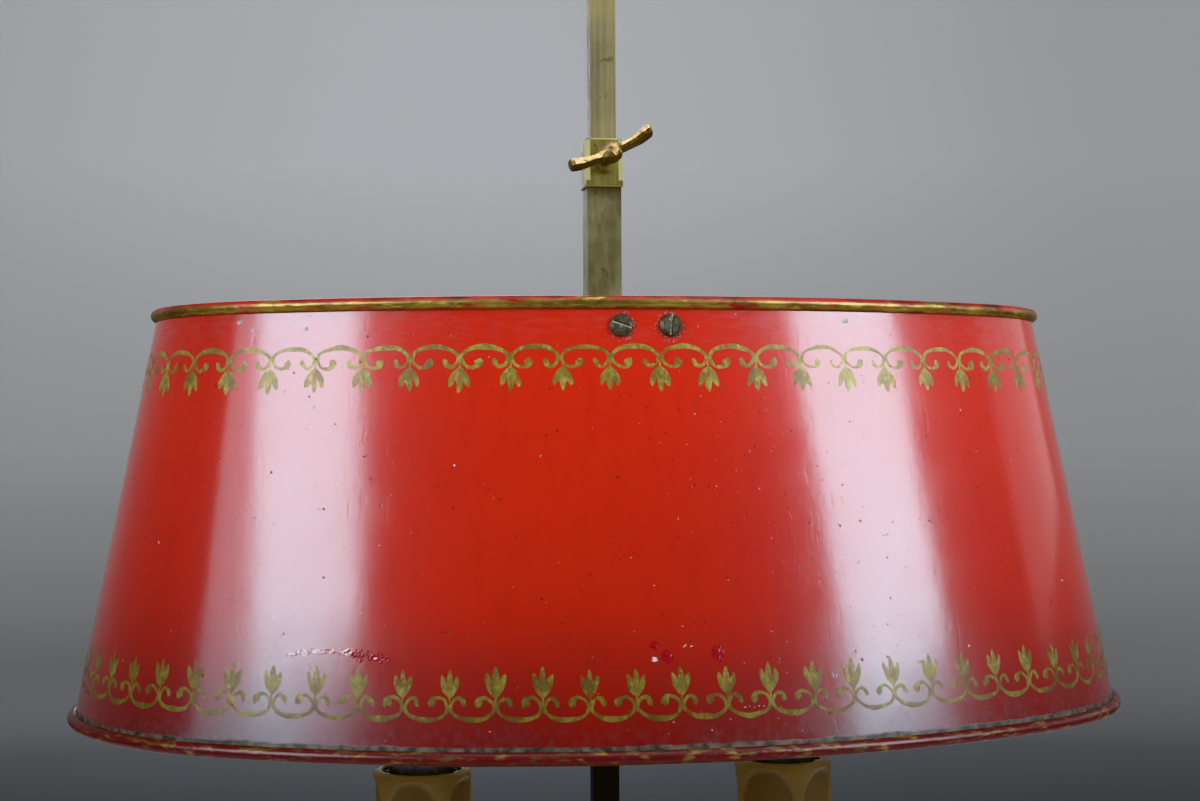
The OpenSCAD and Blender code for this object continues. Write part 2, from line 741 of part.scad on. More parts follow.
felt_pad();
base_weight();
base_foot();
base_dish();
cord_bushing();
tie_tube();
tie_washer();
tie_nuts();
column_foot();
column_base_ring();
column_shaft();
column_capital();
hub_body();
hub_cap();
stem_rod();
stem_nut();
finial();
switch_body();
switch_nut();
switch_knob();
splice_caps();
arm(-1);  // left_arm
arm(1);  // right_arm
arm_lead(-1);  // left_arm_lead
arm_lead(1);  // right_arm_lead
riser(-1);  // left_riser
riser(1);  // right_riser
cup(-1);  // left_cup
cup(1);  // right_cup
drip_pan(-1);  // left_drip_pan
drip_pan(1);  // right_drip_pan
holder_cap(-1);  // left_holder_cap
holder_cap(1);  // right_holder_cap
insulator(-1);  // left_insulator
insulator(1);  // right_insulator
plungers(-1);  // left_plungers
plungers(1);  // right_plungers
barrel(-1);  // left_barrel
barrel(1);  // right_barrel
sleeve(-1);  // left_sleeve
sleeve(1);  // right_sleeve
bulb_cap(-1);  // left_bulb_cap
bulb_cap(1);  // right_bulb_cap
bulb_glass(-1);  // left_bulb_glass
bulb_glass(1);  // right_bulb_glass
shade();
edge_wire(shade_h, shade_flare);  // top_edge_wire
edge_wire(0, 0);  // bottom_edge_wire
crossbar();
tube_ferrule();
slide_tube();
clamp_collar();
clamp_key();
shade_screws();
shade_nuts();
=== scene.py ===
import math
import random

import bmesh
import bpy
from mathutils import Matrix, Vector, noise


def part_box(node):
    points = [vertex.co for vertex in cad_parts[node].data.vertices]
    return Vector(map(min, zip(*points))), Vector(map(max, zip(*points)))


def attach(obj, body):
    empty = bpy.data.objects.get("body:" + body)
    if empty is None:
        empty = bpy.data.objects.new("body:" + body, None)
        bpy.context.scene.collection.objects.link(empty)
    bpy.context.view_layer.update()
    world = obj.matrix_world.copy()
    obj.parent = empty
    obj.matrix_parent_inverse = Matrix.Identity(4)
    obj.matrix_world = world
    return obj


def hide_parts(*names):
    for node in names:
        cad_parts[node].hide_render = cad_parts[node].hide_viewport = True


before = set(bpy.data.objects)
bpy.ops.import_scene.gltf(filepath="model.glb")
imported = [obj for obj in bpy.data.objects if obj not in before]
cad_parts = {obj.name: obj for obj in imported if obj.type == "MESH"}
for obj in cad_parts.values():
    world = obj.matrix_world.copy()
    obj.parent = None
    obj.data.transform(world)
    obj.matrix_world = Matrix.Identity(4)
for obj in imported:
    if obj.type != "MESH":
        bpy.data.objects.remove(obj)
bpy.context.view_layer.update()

mm = 0.001


# ---- Camera
# It stands a little left of the lamp's front and level with the lower third of the shade,
# about 0.64 m from the stem, where the photographer's lens was.
lens_px = 1825.6                    # the focal length, in the photograph's own pixels
photo_px = 1200
turn_left, look_up, roll = 0.1438, 0.0132, -0.005
stand_off, side_step, eye_height = 0.643, 0.001, 0.4079
eye = Vector((-stand_off * math.sin(turn_left) - side_step * math.cos(turn_left),
              -stand_off * math.cos(turn_left) + side_step * math.sin(turn_left),
              eye_height))
ahead = Vector((math.sin(turn_left), math.cos(turn_left), 0))
across = Vector((math.cos(turn_left), -math.sin(turn_left), 0))
above = Vector((0, 0, 1))
gaze = ahead * math.cos(look_up) + above * math.sin(look_up)
head = above * math.cos(look_up) - ahead * math.sin(look_up)
right = across * math.cos(roll) + head * math.sin(roll)
up = head * math.cos(roll) - across * math.sin(roll)
camera = bpy.data.objects.new("camera", bpy.data.cameras.new("camera"))
sensor = 36                         # its width in mm
camera.data.sensor_width = sensor
camera.data.lens = sensor * lens_px / photo_px
camera.data.clip_start, camera.data.clip_end = 0.02, 40
camera.matrix_world = Matrix((right, up, -gaze)).transposed().to_4x4()
camera.location = eye
bpy.context.scene.collection.objects.link(camera)
bpy.context.scene.camera = camera


# ---- Studio
# A pale floor that sweeps up into a round backdrop, so that the lamp can be looked at from
# any side, and soft boxes that stand outside the view of every camera. The paper carries
# painted shade, a dark ring on the floor, and painted light, a glow up the wall and in a pool.
sweep_r, sweep_h, sweep_bend = 3.6, 4.2, 1.4


def add_mesh(name, bm, materials=(), smooth=True):
    """Turns a finished bmesh into an object at the origin."""
    mesh = bpy.data.meshes.new(name)
    bm.to_mesh(mesh)
    bm.free()
    for m in materials:
        mesh.materials.append(m)
    for p in mesh.polygons:
        p.use_smooth = smooth
    piece = bpy.data.objects.new(name, mesh)
    bpy.context.scene.collection.objects.link(piece)
    return piece


def new_material(name):
    """A material with its Principled shader, its node tree and Object coordinates."""
    m = bpy.data.materials.new(name)
    m.use_nodes = True
    tree = m.node_tree
    skin = tree.nodes["Principled BSDF"]
    where = tree.nodes.new("ShaderNodeTexCoord").outputs["Object"]
    return m, tree, skin, where


def node(tree, kind, **settings):
    """Adds a node; a setting is an attribute of the node, or a socket's value or link."""
    n = tree.nodes.new("ShaderNode" + kind)
    for key, value in settings.items():
        if hasattr(n, key):
            setattr(n, key, value)
            continue
        socket = n.inputs[int(key[1:])] if key[1:].isdigit() else n.inputs[key.replace("_", " ")]
        if isinstance(value, bpy.types.NodeSocket):
            tree.links.new(value, socket)
        else:
            socket.default_value = value
    return n


def rgb(r, g, b):
    return (r, g, b, 1)


def spots(tree, where, scale, low, high, detail=3.0, stretch=(1, 1, 1)):
    """A 0 to 1 mask from noise of so many lumps a metre, cut between two of its levels."""
    placed = node(tree, "Mapping", Vector=where, Scale=stretch).outputs[0]
    lumps = node(tree, "TexNoise", Vector=placed, Scale=scale, Detail=detail)
    return node(tree, "MapRange", Value=lumps.outputs[0], From_Min=low, From_Max=high).outputs[0]


def blend(tree, mask, first, second, how="MIX"):
    """Mixes two colours, or a link and a colour, by a mask."""
    n = node(tree, "Mix", data_type="RGBA", blend_type=how)
    for socket, value in ((n.inputs[0], mask), (n.inputs[6], first), (n.inputs[7], second)):
        if isinstance(value, bpy.types.NodeSocket):
            tree.links.new(value, socket)
        else:
            socket.default_value = value
    return n.outputs[2]


def combine(tree, how, first, second=0.5, clamp=False):
    """One Math node on links or numbers."""
    n = node(tree, "Math", operation=how, use_clamp=clamp)
    for socket, value in zip(n.inputs, (first, second)):
        if isinstance(value, bpy.types.NodeSocket):
            tree.links.new(value, socket)
        else:
            socket.default_value = value
    return n.outputs[0]


def times(tree, first, second, clamp=False):
    """The product of two links or numbers."""
    return combine(tree, "MULTIPLY", first, second, clamp)


def ramp(tree, value, low, high, out_low=0.0, out_high=1.0):
    """A value remapped from low..high to out_low..out_high, held at the ends."""
    return node(tree, "MapRange", Value=value, From_Min=low, From_Max=high,
                To_Min=out_low, To_Max=out_high).outputs[0]


def tone_ramp(tree, value, stops, tint=(1, 1, 1)):
    """A tinted grey that passes through the stops, (place, tone), as a value rises."""
    n = node(tree, "ValToRGB", Fac=value)
    for i, (at, tone) in enumerate(stops):
        stop = n.color_ramp.elements[i] if i < 2 else n.color_ramp.elements.new(at)
        stop.position, stop.color = at, rgb(*(tone * c for c in tint))
    return n.outputs[0]


def bumps(tree, skin, height, strength, distance, under=None):
    """Gives a shader a bump from a height, laid over another bump if one is given."""
    n = node(tree, "Bump", Strength=strength, Distance=distance, Height=height)
    if under is not None:
        tree.links.new(under.outputs[0], n.inputs["Normal"])
    tree.links.new(n.outputs[0], skin.inputs["Normal"])
    if skin.inputs["Coat Weight"].default_value > 0:
        tree.links.new(n.outputs[0], skin.inputs["Coat Normal"])
    return n


paper, tree, skin, where = new_material("backdrop_paper")
height = node(tree, "SeparateXYZ", Vector=where).outputs[2]
flat = node(tree, "VectorMath", operation="MULTIPLY", _0=where, _1=(1, 1, 0)).outputs[0]
spread = node(tree, "VectorMath", operation="LENGTH", _0=flat).outputs[1]
# The paper's tones from the middle of the floor, 0, out to the wall, 1: a dark ring of painted shade round
# the pale middle
paper_tones_with_painted_shade = ((0.18, 0.60), (0.31, 0.034), (0.40, 0.060), (0.49, 0.100), (0.71, 0.33),
               (0.87, 0.555), (1.0, 0.565))
tree.links.new(tone_ramp(tree, ramp(tree, spread, 0, sweep_r), paper_tones_with_painted_shade, (1.03, 1, 0.96)),
               skin.inputs["Base Color"])
skin.inputs["Emission Color"].default_value = rgb(0.95, 0.98, 1.04)
beyond = node(tree, "VectorMath", operation="NORMALIZE", _0=flat).outputs[0]
painted_pool_turn = turn_left - math.radians(4.7)
painted_pool_way = (math.sin(painted_pool_turn), math.cos(painted_pool_turn), 0)
towards = node(tree, "VectorMath", operation="DOT_PRODUCT", _0=beyond, _1=painted_pool_way).outputs[1]
painted_light_pool = ramp(tree, combine(tree, "POWER", ramp(tree, towards, 0.92, 1.0), 1.4), 0, 1, 0.52, 1.05)
# Painted light: the paper glows more up the wall and most in a pool to one side, though it is no lamp
painted_glow = ramp(tree, height, 0.25, 1.0, 0.0, 0.180)
tree.links.new(times(tree, painted_glow, painted_light_pool), skin.inputs["Emission Strength"])
skin.inputs["Roughness"].default_value = 0.9
bm = bmesh.new()
floor_end = sweep_r - sweep_bend
turn_points = [Vector((0, 0, 0)), Vector((floor_end, 0, 0))]
bend_steps = 12
for i in range(1, bend_steps + 1):
    a = math.radians(90 * i / bend_steps)
    turn_points.append(Vector((floor_end + sweep_bend * math.sin(a), 0,
                               sweep_bend - sweep_bend * math.cos(a))))
turn_points.append(Vector((sweep_r, 0, sweep_h)))
line = [bm.verts.new(p) for p in turn_points]
edges = [bm.edges.new(pair) for pair in zip(line, line[1:])]
bmesh.ops.spin(bm, geom=line + edges, cent=(0, 0, 0), axis=(0, 0, 1), dvec=(0, 0, 0),
               angle=math.tau, steps=96, use_merge=True)
bmesh.ops.remove_doubles(bm, verts=bm.verts, dist=1e-5)
bmesh.ops.recalc_face_normals(bm, faces=bm.faces)
add_mesh("studio_sweep", bm, [paper])


def soft_box(name, azimuth, distance, height_at, width, tall, power, colour, lean=0):
    """A soft box on a stand: azimuth from the lamp's front towards +X, aimed at its stem."""
    light = bpy.data.lights.new(name, "AREA")
    light.shape = "RECTANGLE"
    light.size, light.size_y = width, tall
    light.energy = power
    light.color = colour
    box = bpy.data.objects.new(name, light)
    a = math.radians(azimuth)
    place = Vector((distance * math.sin(a), -distance * math.cos(a), height_at))
    facing = (Vector((0, 0, 0.40)) - place).to_track_quat("-Z", "Y").to_matrix()
    box.rotation_euler = (facing @ Matrix.Rotation(math.radians(lean), 3, "Z")).to_euler()
    box.location = place
    box.visible_camera = False
    bpy.context.scene.collection.objects.link(box)


cool, clear = (0.80, 0.89, 1.0), (0.95, 0.96, 1.0)
soft_box("right_window", 48.6, 1.80, 1.135, 0.63, 1.07, 34.4, cool, lean=9)
soft_box("left_window", -52.4, 1.80, 1.16, 0.58, 0.98, 22.05, cool, lean=25)
soft_box("left_curtain", -56, 1.90, 0.97, 1.08, 0.72, 7.8, cool, lean=12)
soft_box("right_side_fill", 99, 1.90, 1.00, 1.4, 0.9, 3.4, clear)
soft_box("overhead", 20, 0.5, 2.3, 1.8, 1.8, 16, clear)
soft_box("back_window", 177, 2.0, 1.1, 0.9, 1.0, 12, cool)
sky = bpy.data.worlds.new("studio_air")
sky.use_nodes = True
sky.node_tree.nodes["Background"].inputs["Color"].default_value = rgb(0.7, 0.75, 0.8)
sky.node_tree.nodes["Background"].inputs["Strength"].default_value = 0.25
bpy.context.scene.world = sky
bpy.context.scene.view_settings.view_transform = "Khronos PBR Neutral"


# ---- The shade's painted sheet
# Tin plate bent to a four-centre oval and leaning in evenly, lacquered red outside and
# off-white inside. Old lacquer: fine dust, pits, a grimy lower edge, scratches, and painted
# shade that darkens the red towards the bottom.
lean_in = 0.027                    # over the height from bead to bead
end_centre, end_radius = 0.085, 0.095
side_centre = 0.1532
side_radius = 0.117 + side_centre
end_half = math.atan2(side_centre, end_centre)
side_half = math.pi / 2 - end_half
bead_radius = 0.0021
skin_out = -0.0002                 # the sheet's outer face, from the bead's centre line
sheet = 0.0008

low_box, high_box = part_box("shade")
shade_rise = high_box.z - low_box.z - 2 * bead_radius
shade_floor = low_box.z + bead_radius   # the middle of the bottom bead
top_z = shade_floor + shade_rise


def sweep_oval(bm, geom, steps_end=40, steps_side=44):
    """Spins a profile, drawn in the XZ plane at the +X end, all the way round the oval."""
    at_end = Vector((end_centre, 0, 0))
    bmesh.ops.rotate(bm, verts=[g for g in geom if isinstance(g, bmesh.types.BMVert)],
                     cent=at_end, matrix=Matrix.Rotation(-end_half, 3, "Z"))
    arcs = ((at_end, 2 * end_half, steps_end), (Vector((0, -side_centre, 0)), 2 * side_half, steps_side),
            (-at_end, 2 * end_half, steps_end), (Vector((0, side_centre, 0)), 2 * side_half, steps_side))
    for centre, angle, steps in arcs:
        swept = bmesh.ops.spin(bm, geom=geom, cent=centre, axis=(0, 0, 1), dvec=(0, 0, 0),
                               angle=angle, steps=steps, use_merge=False)
        geom = swept["geom_last"]
    bmesh.ops.remove_doubles(bm, verts=bm.verts, dist=2e-6)
    bmesh.ops.recalc_face_normals(bm, faces=bm.faces)
    for edge in bm.edges:
        edge.smooth = edge.calc_face_angle(0) < 0.6


def profile(bm, points, closed=True):
    """A line of points in the XZ plane as vertices and edges to spin."""
    verts = [bm.verts.new(p) for p in points]
    pairs = list(zip(verts, verts[1:])) + ([(verts[-1], verts[0])] if closed else [])
    return verts + [bm.edges.new(p) for p in pairs]


lacquer, tree, skin, where = new_material("red_lacquer")
height = node(tree, "SeparateXYZ", Vector=where).outputs[2]
red = blend(tree, spots(tree, where, 9, 0.35, 0.7), rgb(0.495, 0.0225, 0.007), rgb(0.44, 0.019, 0.006))
streaks = spots(tree, where, 260, 0.50, 0.78, 2, (1, 1, 0.06))
red = blend(tree, times(tree, streaks, 0.22), red, rgb(0.30, 0.012, 0.006))
# The red turns darker towards the bottom edge, and darker still in patches of grime
low_edge = ramp(tree, height, shade_floor + 0.042, shade_floor + 0.004)
grime = times(tree, low_edge, spots(tree, where, 40, 0.25, 0.75), True)
red = blend(tree, times(tree, low_edge, 0.45), red, rgb(0.30, 0.014, 0.010))
red = blend(tree, times(tree, grime, 0.55), red, rgb(0.17, 0.045, 0.035))
ragged = times(tree, spots(tree, where, 170, 0.2, 0.8, 4), 0.0010)
crease = ramp(tree, combine(tree, "SUBTRACT", height, ragged),
              shade_floor + 0.0030, shade_floor + 0.0024)
near_crease = ramp(tree, height, shade_floor + 0.012, shade_floor + 0.0026)
haze = times(tree, near_crease, spots(tree, where, 420, 0.42, 0.72, 4))
red = blend(tree, times(tree, haze, 0.5), red, rgb(0.34, 0.16, 0.15))
near_top = ramp(tree, height, top_z - 0.022, top_z - 0.003)
top_dust = times(tree, near_top, spots(tree, where, 160, 0.35, 0.75, 5, (1, 1, 4)))
red = blend(tree, times(tree, top_dust, 0.22), red, rgb(0.42, 0.16, 0.15))
# Painted shade: the red is multiplied darker towards the bottom, where less light falls
painted_shade_stops = ((0.0, 0.36), (0.79, 1.0), (0.09, 0.45), (0.24, 0.68), (0.40, 0.82), (0.56, 0.90))
painted_shade_tone = tone_ramp(tree, ramp(tree, height, shade_floor, top_z), painted_shade_stops)
red = blend(tree, 1.0, red, painted_shade_tone, "MULTIPLY")
packed_dirt = blend(tree, spots(tree, where, 330, 0.38, 0.62), rgb(0.030, 0.018, 0.010),
                    rgb(0.115, 0.082, 0.050))
red = blend(tree, crease, red, packed_dirt)
dust_specks = spots(tree, where, 900, 0.79, 0.80, 1)
red = blend(tree, dust_specks, red, rgb(0.46, 0.22, 0.19))
shifted = node(tree, "Mapping", Vector=where, Location=(3, 1, 2)).outputs[0]
pits = spots(tree, shifted, 620, 0.745, 0.77, 1)
red = blend(tree, pits, red, rgb(0.14, 0.02, 0.015))
tree.links.new(red, skin.inputs["Base Color"])
patchy = ramp(tree, spots(tree, where, 60, 0.3, 0.7), 0, 1, 0.115, 0.165)
dulled = combine(tree, "ADD", times(tree, grime, 0.14), times(tree, crease, 0.5))
tree.links.new(combine(tree, "ADD", patchy, dulled), skin.inputs["Roughness"])
skin.inputs["Specular Tint"].default_value = rgb(0.62, 0.95, 1.0)
skin.inputs["Coat Weight"].default_value = 0.34
skin.inputs["Coat Roughness"].default_value = 0.40
dents = bumps(tree, skin, spots(tree, where, 14, 0.2, 0.8, 1), 0.25, 0.0006)
scratches = times(tree, spots(tree, where, 560, 0.60, 0.74, 3, (1, 1, 0.04)), -0.45)
skin_grain = times(tree, spots(tree, where, 420, 0.3, 0.7), 0.35)
raised = combine(tree, "ADD", skin_grain, scratches)
sunk = combine(tree, "ADD", pits, dust_specks)
bumps(tree, skin, combine(tree, "SUBTRACT", raised, sunk), 0.35, 0.00005, dents)

inside_white, tree, skin, where = new_material("shade_inside_white")
warm = blend(tree, spots(tree, where, 22, 0.35, 0.7), rgb(0.74, 0.70, 0.60), rgb(0.66, 0.60, 0.48))
tree.links.new(blend(tree, spots(tree, where, 300, 0.66, 0.74), warm, rgb(0.40, 0.30, 0.18)),
               skin.inputs["Base Color"])
skin.inputs["Roughness"].default_value = 0.55
bumps(tree, skin, spots(tree, where, 240, 0.3, 0.7), 0.2, 0.0001)

bm = bmesh.new()
edge = end_centre + end_radius + skin_out
rows = 26
outer = [Vector((edge - lean_in * i / rows, 0, shade_floor + shade_rise * i / rows))
         for i in range(rows + 1)]
inner = [p - Vector((sheet, 0, 0)) for p in reversed(outer)]
sweep_oval(bm, profile(bm, outer + inner))
for face in bm.faces:
    middle = face.calc_center_median()
    face.material_index = 1 if face.normal.x * middle.x + face.normal.y * middle.y < 0 else 0
wall = add_mesh("shade_wall", bm, [lacquer, inside_white])
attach(wall, "shade_carriage")
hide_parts("shade")


# ---- The shade's rolled edges
# The sheet is rolled outwards round an iron wire at the top and the bottom. Both rolls were
# gilded: the top one is rubbed through on its upper side, the bottom one nearly everywhere.
def bead_material(name, patches, gilt_share, shine, red_above, gilt, tarnish, under):
    """Gilding rubbed through to the red under it, in patches and above a height."""
    m, tree, skin, where = new_material(name)
    height = node(tree, "SeparateXYZ", Vector=where).outputs[2]
    gold = blend(tree, spots(tree, where, 130, 0.35, 0.7), gilt, rgb(0.27, 0.17, 0.05))
    gold = blend(tree, spots(tree, where, 55, 0.45, 0.75, 4), gold, tarnish)
    gold = blend(tree, spots(tree, where, 240, 0.50, 0.72, 4, (1, 1, 4)), gold, tarnish)
    gold = blend(tree, spots(tree, where, 190, 0.60, 0.70, 3, (1, 1, 5)), gold, [1.45 * c for c in gilt])
    old_red = blend(tree, spots(tree, where, 90, 0.4, 0.7, 4), under, rgb(0.07, 0.007, 0.005))
    rubbed = spots(tree, where, patches, gilt_share - 0.06, gilt_share + 0.06, 6, (1, 1, 4))
    upper = ramp(tree, height, red_above - 0.0005, red_above + 0.0004)
    upper = times(tree, upper, spots(tree, where, 45, 0.34, 0.42, 4))
    bare = combine(tree, "MAXIMUM", rubbed, upper)
    tree.links.new(blend(tree, bare, gold, old_red), skin.inputs["Base Color"])
    covered = combine(tree, "SUBTRACT", 1.0, bare)
    tree.links.new(times(tree, covered, shine), skin.inputs["Metallic"])
    tree.links.new(ramp(tree, bare, 0, 1, 0.38, 0.36), skin.inputs["Roughness"])
    relief = combine(tree, "ADD", spots(tree, where, 380, 0.3, 0.7), times(tree, bare, -0.8))
    bumps(tree, skin, relief, 0.4, 0.00012)
    return m


top_gilt = bead_material("gilt_top_bead", 95, 0.62, 0.72, top_z + 0.0008, rgb(0.40, 0.285, 0.085),
                         rgb(0.12, 0.07, 0.03), rgb(0.38, 0.025, 0.016))
bottom_gilt = bead_material("worn_bottom_bead", 200, 0.415, 0.2, top_z, rgb(0.075, 0.042, 0.016),
                            rgb(0.060, 0.022, 0.012), rgb(0.085, 0.008, 0.006))
bead_slack = 0.00006               # the roll stays inside the solid one
low_out = end_centre + end_radius
upright = Matrix.Rotation(math.pi / 2, 4, "X")
for name, centre_z, out, finish in (("shade_top_bead", top_z, low_out - lean_in, top_gilt),
                                    ("shade_bottom_bead", shade_floor, low_out, bottom_gilt)):
    bm = bmesh.new()
    bmesh.ops.create_circle(bm, segments=20, radius=bead_radius - bead_slack,
                            matrix=Matrix.Translation((out, 0, centre_z)) @ upright)
    sweep_oval(bm, list(bm.verts) + list(bm.edges), 56, 60)
    bead = add_mesh(name, bm, [finish])
    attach(bead, "shade_carriage")
    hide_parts("shade")


# ---- The gilt borders
# Brushed by hand in bronze paint, a little proud of the lacquer: scrolls with curled ends,
# from whose meeting points hang three-lobed leaves. The lower border stands upside down.
def runs_at(level):
    """How far in the sheet's face is at a height, and half its side and end arcs there."""
    inset = lean_in * (level - shade_floor) / shade_rise - skin_out
    return inset, side_half * (side_radius - inset), end_half * (end_radius - inset)


def on_shade(along, height_z, proud, level):
    """The point so far round the shade from its front's middle, measured at a level."""
    inset, side_run, end_run = runs_at(level)
    lap = 4 * (side_run + end_run)
    along = (along + side_run) % lap
    half_turn = along >= lap / 2
    along = along % (lap / 2)
    if along < 2 * side_run:
        angle = -side_half + along / (side_radius - inset)
        centre, radius = Vector((0, side_centre)), side_radius
    else:
        angle = side_half + (along - 2 * side_run) / (end_radius - inset)
        centre, radius = Vector((end_centre, 0)), end_radius
    radius += skin_out + proud - lean_in * (height_z - shade_floor) / shade_rise
    x, y = centre.x + radius * math.sin(angle), centre.y - radius * math.cos(angle)
    return Vector((-x, -y, height_z) if half_turn else (x, y, height_z))


# One scroll from leaf to leaf over a pitch of 1, then a leaf's stem and lobes: each point is
# (along the border in pitches, down in mm, half width of the stroke in mm)
scroll = ((0.378, 4.15, 0.25), (0.382, 4.5, 0.85), (0.378, 5.2, 1.2), (0.36, 6.0, 0.95), (0.31, 6.6, 0.56),
          (0.235, 6.8, 0.46), (0.125, 6.2, 0.44), (0.05, 4.9, 0.46), (0.035, 3.4, 0.52), (0.10, 2.0, 0.46),
          (0.27, 0.95, 0.58), (0.50, 0.55, 0.80), (0.72, 0.95, 0.62), (0.89, 2.2, 0.46), (0.968, 3.6, 0.56),
          (0.93, 5.4, 0.46), (0.84, 6.6, 0.50), (0.745, 6.2, 0.62), (0.70, 5.1, 0.72), (0.695, 4.55, 0.58),
          (0.70, 4.2, 0.2))
leaf = (((-0.1, 3.8, 0.42), (0.0, 5.4, 0.26), (0.0, 7.0, 0.36)),
        ((0.0, 6.5, 0.30), (0.0, 8.4, 0.95), (0.05, 10.6, 1.15), (0.1, 12.6, 0.88), (0.15, 14.0, 0.45),
         (0.15, 14.4, 0.12)),
        ((-0.1, 7.3, 0.75), (-1.2, 8.8, 1.0), (-2.0, 10.3, 1.02), (-2.4, 11.5, 0.80), (-2.65, 12.4, 0.42),
         (-2.7, 12.7, 0.1)),
        ((0.1, 7.3, 0.75), (1.3, 8.8, 1.0), (2.1, 10.4, 1.02), (2.55, 11.7, 0.80), (2.8, 12.6, 0.42),
         (2.85, 12.9, 0.1)))


def uneven_gloss(tree, skin, where, scale, least, most):
    """Lets a shader's roughness wander between two values, in patches."""
    tree.links.new(ramp(tree, spots(tree, where, scale, 0.3, 0.7), 0, 1, least, most),
                   skin.inputs["Roughness"])


def bronze_paint():
    """Greenish bronze paint, streaked by the brush and thin in places, with painted shade that darkens it
    lower down.
    """
    m, tree, skin, where = new_material("bronze_paint")
    gold = blend(tree, spots(tree, where, 210, 0.35, 0.65, 4), rgb(0.30, 0.235, 0.05), rgb(0.17, 0.125, 0.03))
    gold = blend(tree, spots(tree, where, 700, 0.5, 0.75), gold, rgb(0.40, 0.34, 0.10))
    stained = times(tree, spots(tree, where, 150, 0.50, 0.64, 3), 0.7)
    gold = blend(tree, stained, gold, rgb(0.15, 0.095, 0.04))
    thin = times(tree, spots(tree, where, 380, 0.58, 0.66, 4, (1.6, 1.6, 0.8)), 0.7)
    gold = blend(tree, thin, gold, rgb(0.30, 0.05, 0.02))
    height = node(tree, "SeparateXYZ", Vector=where).outputs[2]
    # Painted shade: the paint is multiplied darker towards the bottom, as the lacquer is
    painted_shade_low = ramp(tree, height, shade_floor + 0.012, shade_floor + 0.055, 0.60, 0.0)
    brushed = times(tree, spots(tree, where, 900, 0.52, 0.64, 2, (1, 1, 0.25)), 0.45)
    gold = blend(tree, brushed, gold, rgb(0.13, 0.075, 0.03))
    tree.links.new(blend(tree, painted_shade_low, gold, rgb(0.25, 0.23, 0.27), "MULTIPLY"), skin.inputs["Base Color"])
    tree.links.new(ramp(tree, thin, 0, 1, 0.14, 0.0), skin.inputs["Metallic"])
    uneven_gloss(tree, skin, where, 500, 0.36, 0.50)
    skin.inputs["Specular IOR Level"].default_value = 0.3
    skin.inputs["Coat Weight"].default_value = 0.14
    skin.inputs["Coat Roughness"].default_value = 0.16
    bumps(tree, skin, spots(tree, where, 1200, 0.3, 0.7), 0.3, 0.00003)
    return m


def paint_border(name, motifs, start, level, down, petal, seed, paint):
    """Brushes one border: motifs round the shade, from a first leaf at start along it. The
    lower border is the upper one turned half round, with longer and slimmer leaves."""
    hand = random.Random(seed)
    _, side_run, end_run = runs_at(level)
    pitch = 4 * (side_run + end_run) / motifs
    brush = bpy.data.curves.new(name, "CURVE")
    brush.dimensions = "3D"
    brush.resolution_u = 3
    brush.bevel_depth = mm
    brush.bevel_resolution = 1

    def stroke(points, origin, swell, slip):
        line = brush.splines.new("BEZIER")
        line.bezier_points.add(len(points) - 1)
        for knot, (x, y, half) in zip(line.bezier_points, points):
            knot.co = (origin - down * x + hand.gauss(0, slip), down * (y + hand.gauss(0, slip / mm)) * mm, 0)
            knot.handle_left_type = knot.handle_right_type = "AUTO"
            knot.radius = half * swell * hand.uniform(0.9, 1.1)

    for i in range(motifs):
        at = start + i * pitch
        fat = hand.uniform(0.88, 1.16)
        stroke([(x * pitch, y, half) for x, y, half in scroll], at, fat, 0.00010)
        drift, size = hand.gauss(0, 0.0003), hand.uniform(0.92, 1.06)
        for lobe in leaf:
            stroke([(x * mm * size / petal, y if y < 7 else 7 + (y - 7) * size * petal, half / petal)
                    for x, y, half in lobe], at + drift, size * hand.uniform(0.94, 1.08), 0.00008)
    drawn = bpy.data.objects.new(name + "_brush", brush)
    bpy.context.scene.collection.objects.link(drawn)
    bpy.context.view_layer.update()
    flat = bpy.data.meshes.new_from_object(drawn.evaluated_get(bpy.context.evaluated_depsgraph_get()))
    bm = bmesh.new()
    bm.from_mesh(flat)
    bpy.data.objects.remove(drawn)
    bpy.data.curves.remove(brush)
    bpy.data.meshes.remove(flat)
    paint_proud, flattened = 0.00001, 0.012
    for v in bm.verts:
        v.co = on_shade(v.co.x, level + v.co.y, paint_proud + v.co.z * flattened, level)
    bmesh.ops.recalc_face_normals(bm, faces=bm.faces)
    border = add_mesh(name, bm, [paint], smooth=False)
    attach(border, "shade_carriage")


bronze = bronze_paint()
top_border, bottom_border = top_z - 0.0129, shade_floor + 0.0103
paint_border("gilt_border_top", motifs=53, start=-0.0113, level=top_border, down=-1, petal=1.0,
             seed=5, paint=bronze)
paint_border("gilt_border_bottom", motifs=69, start=-0.0073, level=bottom_border, down=1, petal=1.1,
             seed=11, paint=bronze)


# ---- Chips, blisters and grit on the lacquer
# Knocks have taken flakes off down to the pale ground coat, heat has raised a wrinkle and a
# few dark blisters over the lower border, and dark grit sticks all over.
flake_sides = 14
mark_rise = 0.060                  # places along the sheet are measured this far up


def flake(bm, along, rise, wide, tall, proud, hand):
    """A ragged disc that follows the sheet just over the lacquer, its middle raised."""
    made = bmesh.ops.create_circle(bm, cap_ends=True, cap_tris=True, segments=flake_sides, radius=1)
    tilt = hand.uniform(0, math.tau) / 8
    for v in made["verts"]:
        reach = Vector((v.co.x, v.co.y, 0)).length
        ragged = reach * hand.uniform(0.65, 1.2)
        a = math.atan2(v.co.y, v.co.x)
        x, z = ragged * wide * math.cos(a), ragged * tall * math.sin(a)
        x, z = x * math.cos(tilt) - z * math.sin(tilt), x * math.sin(tilt) + z * math.cos(tilt)
        level = shade_floor + mark_rise
        v.co = on_shade(along + x, shade_floor + rise + z, 0.00002 + proud * (1 - reach), level)


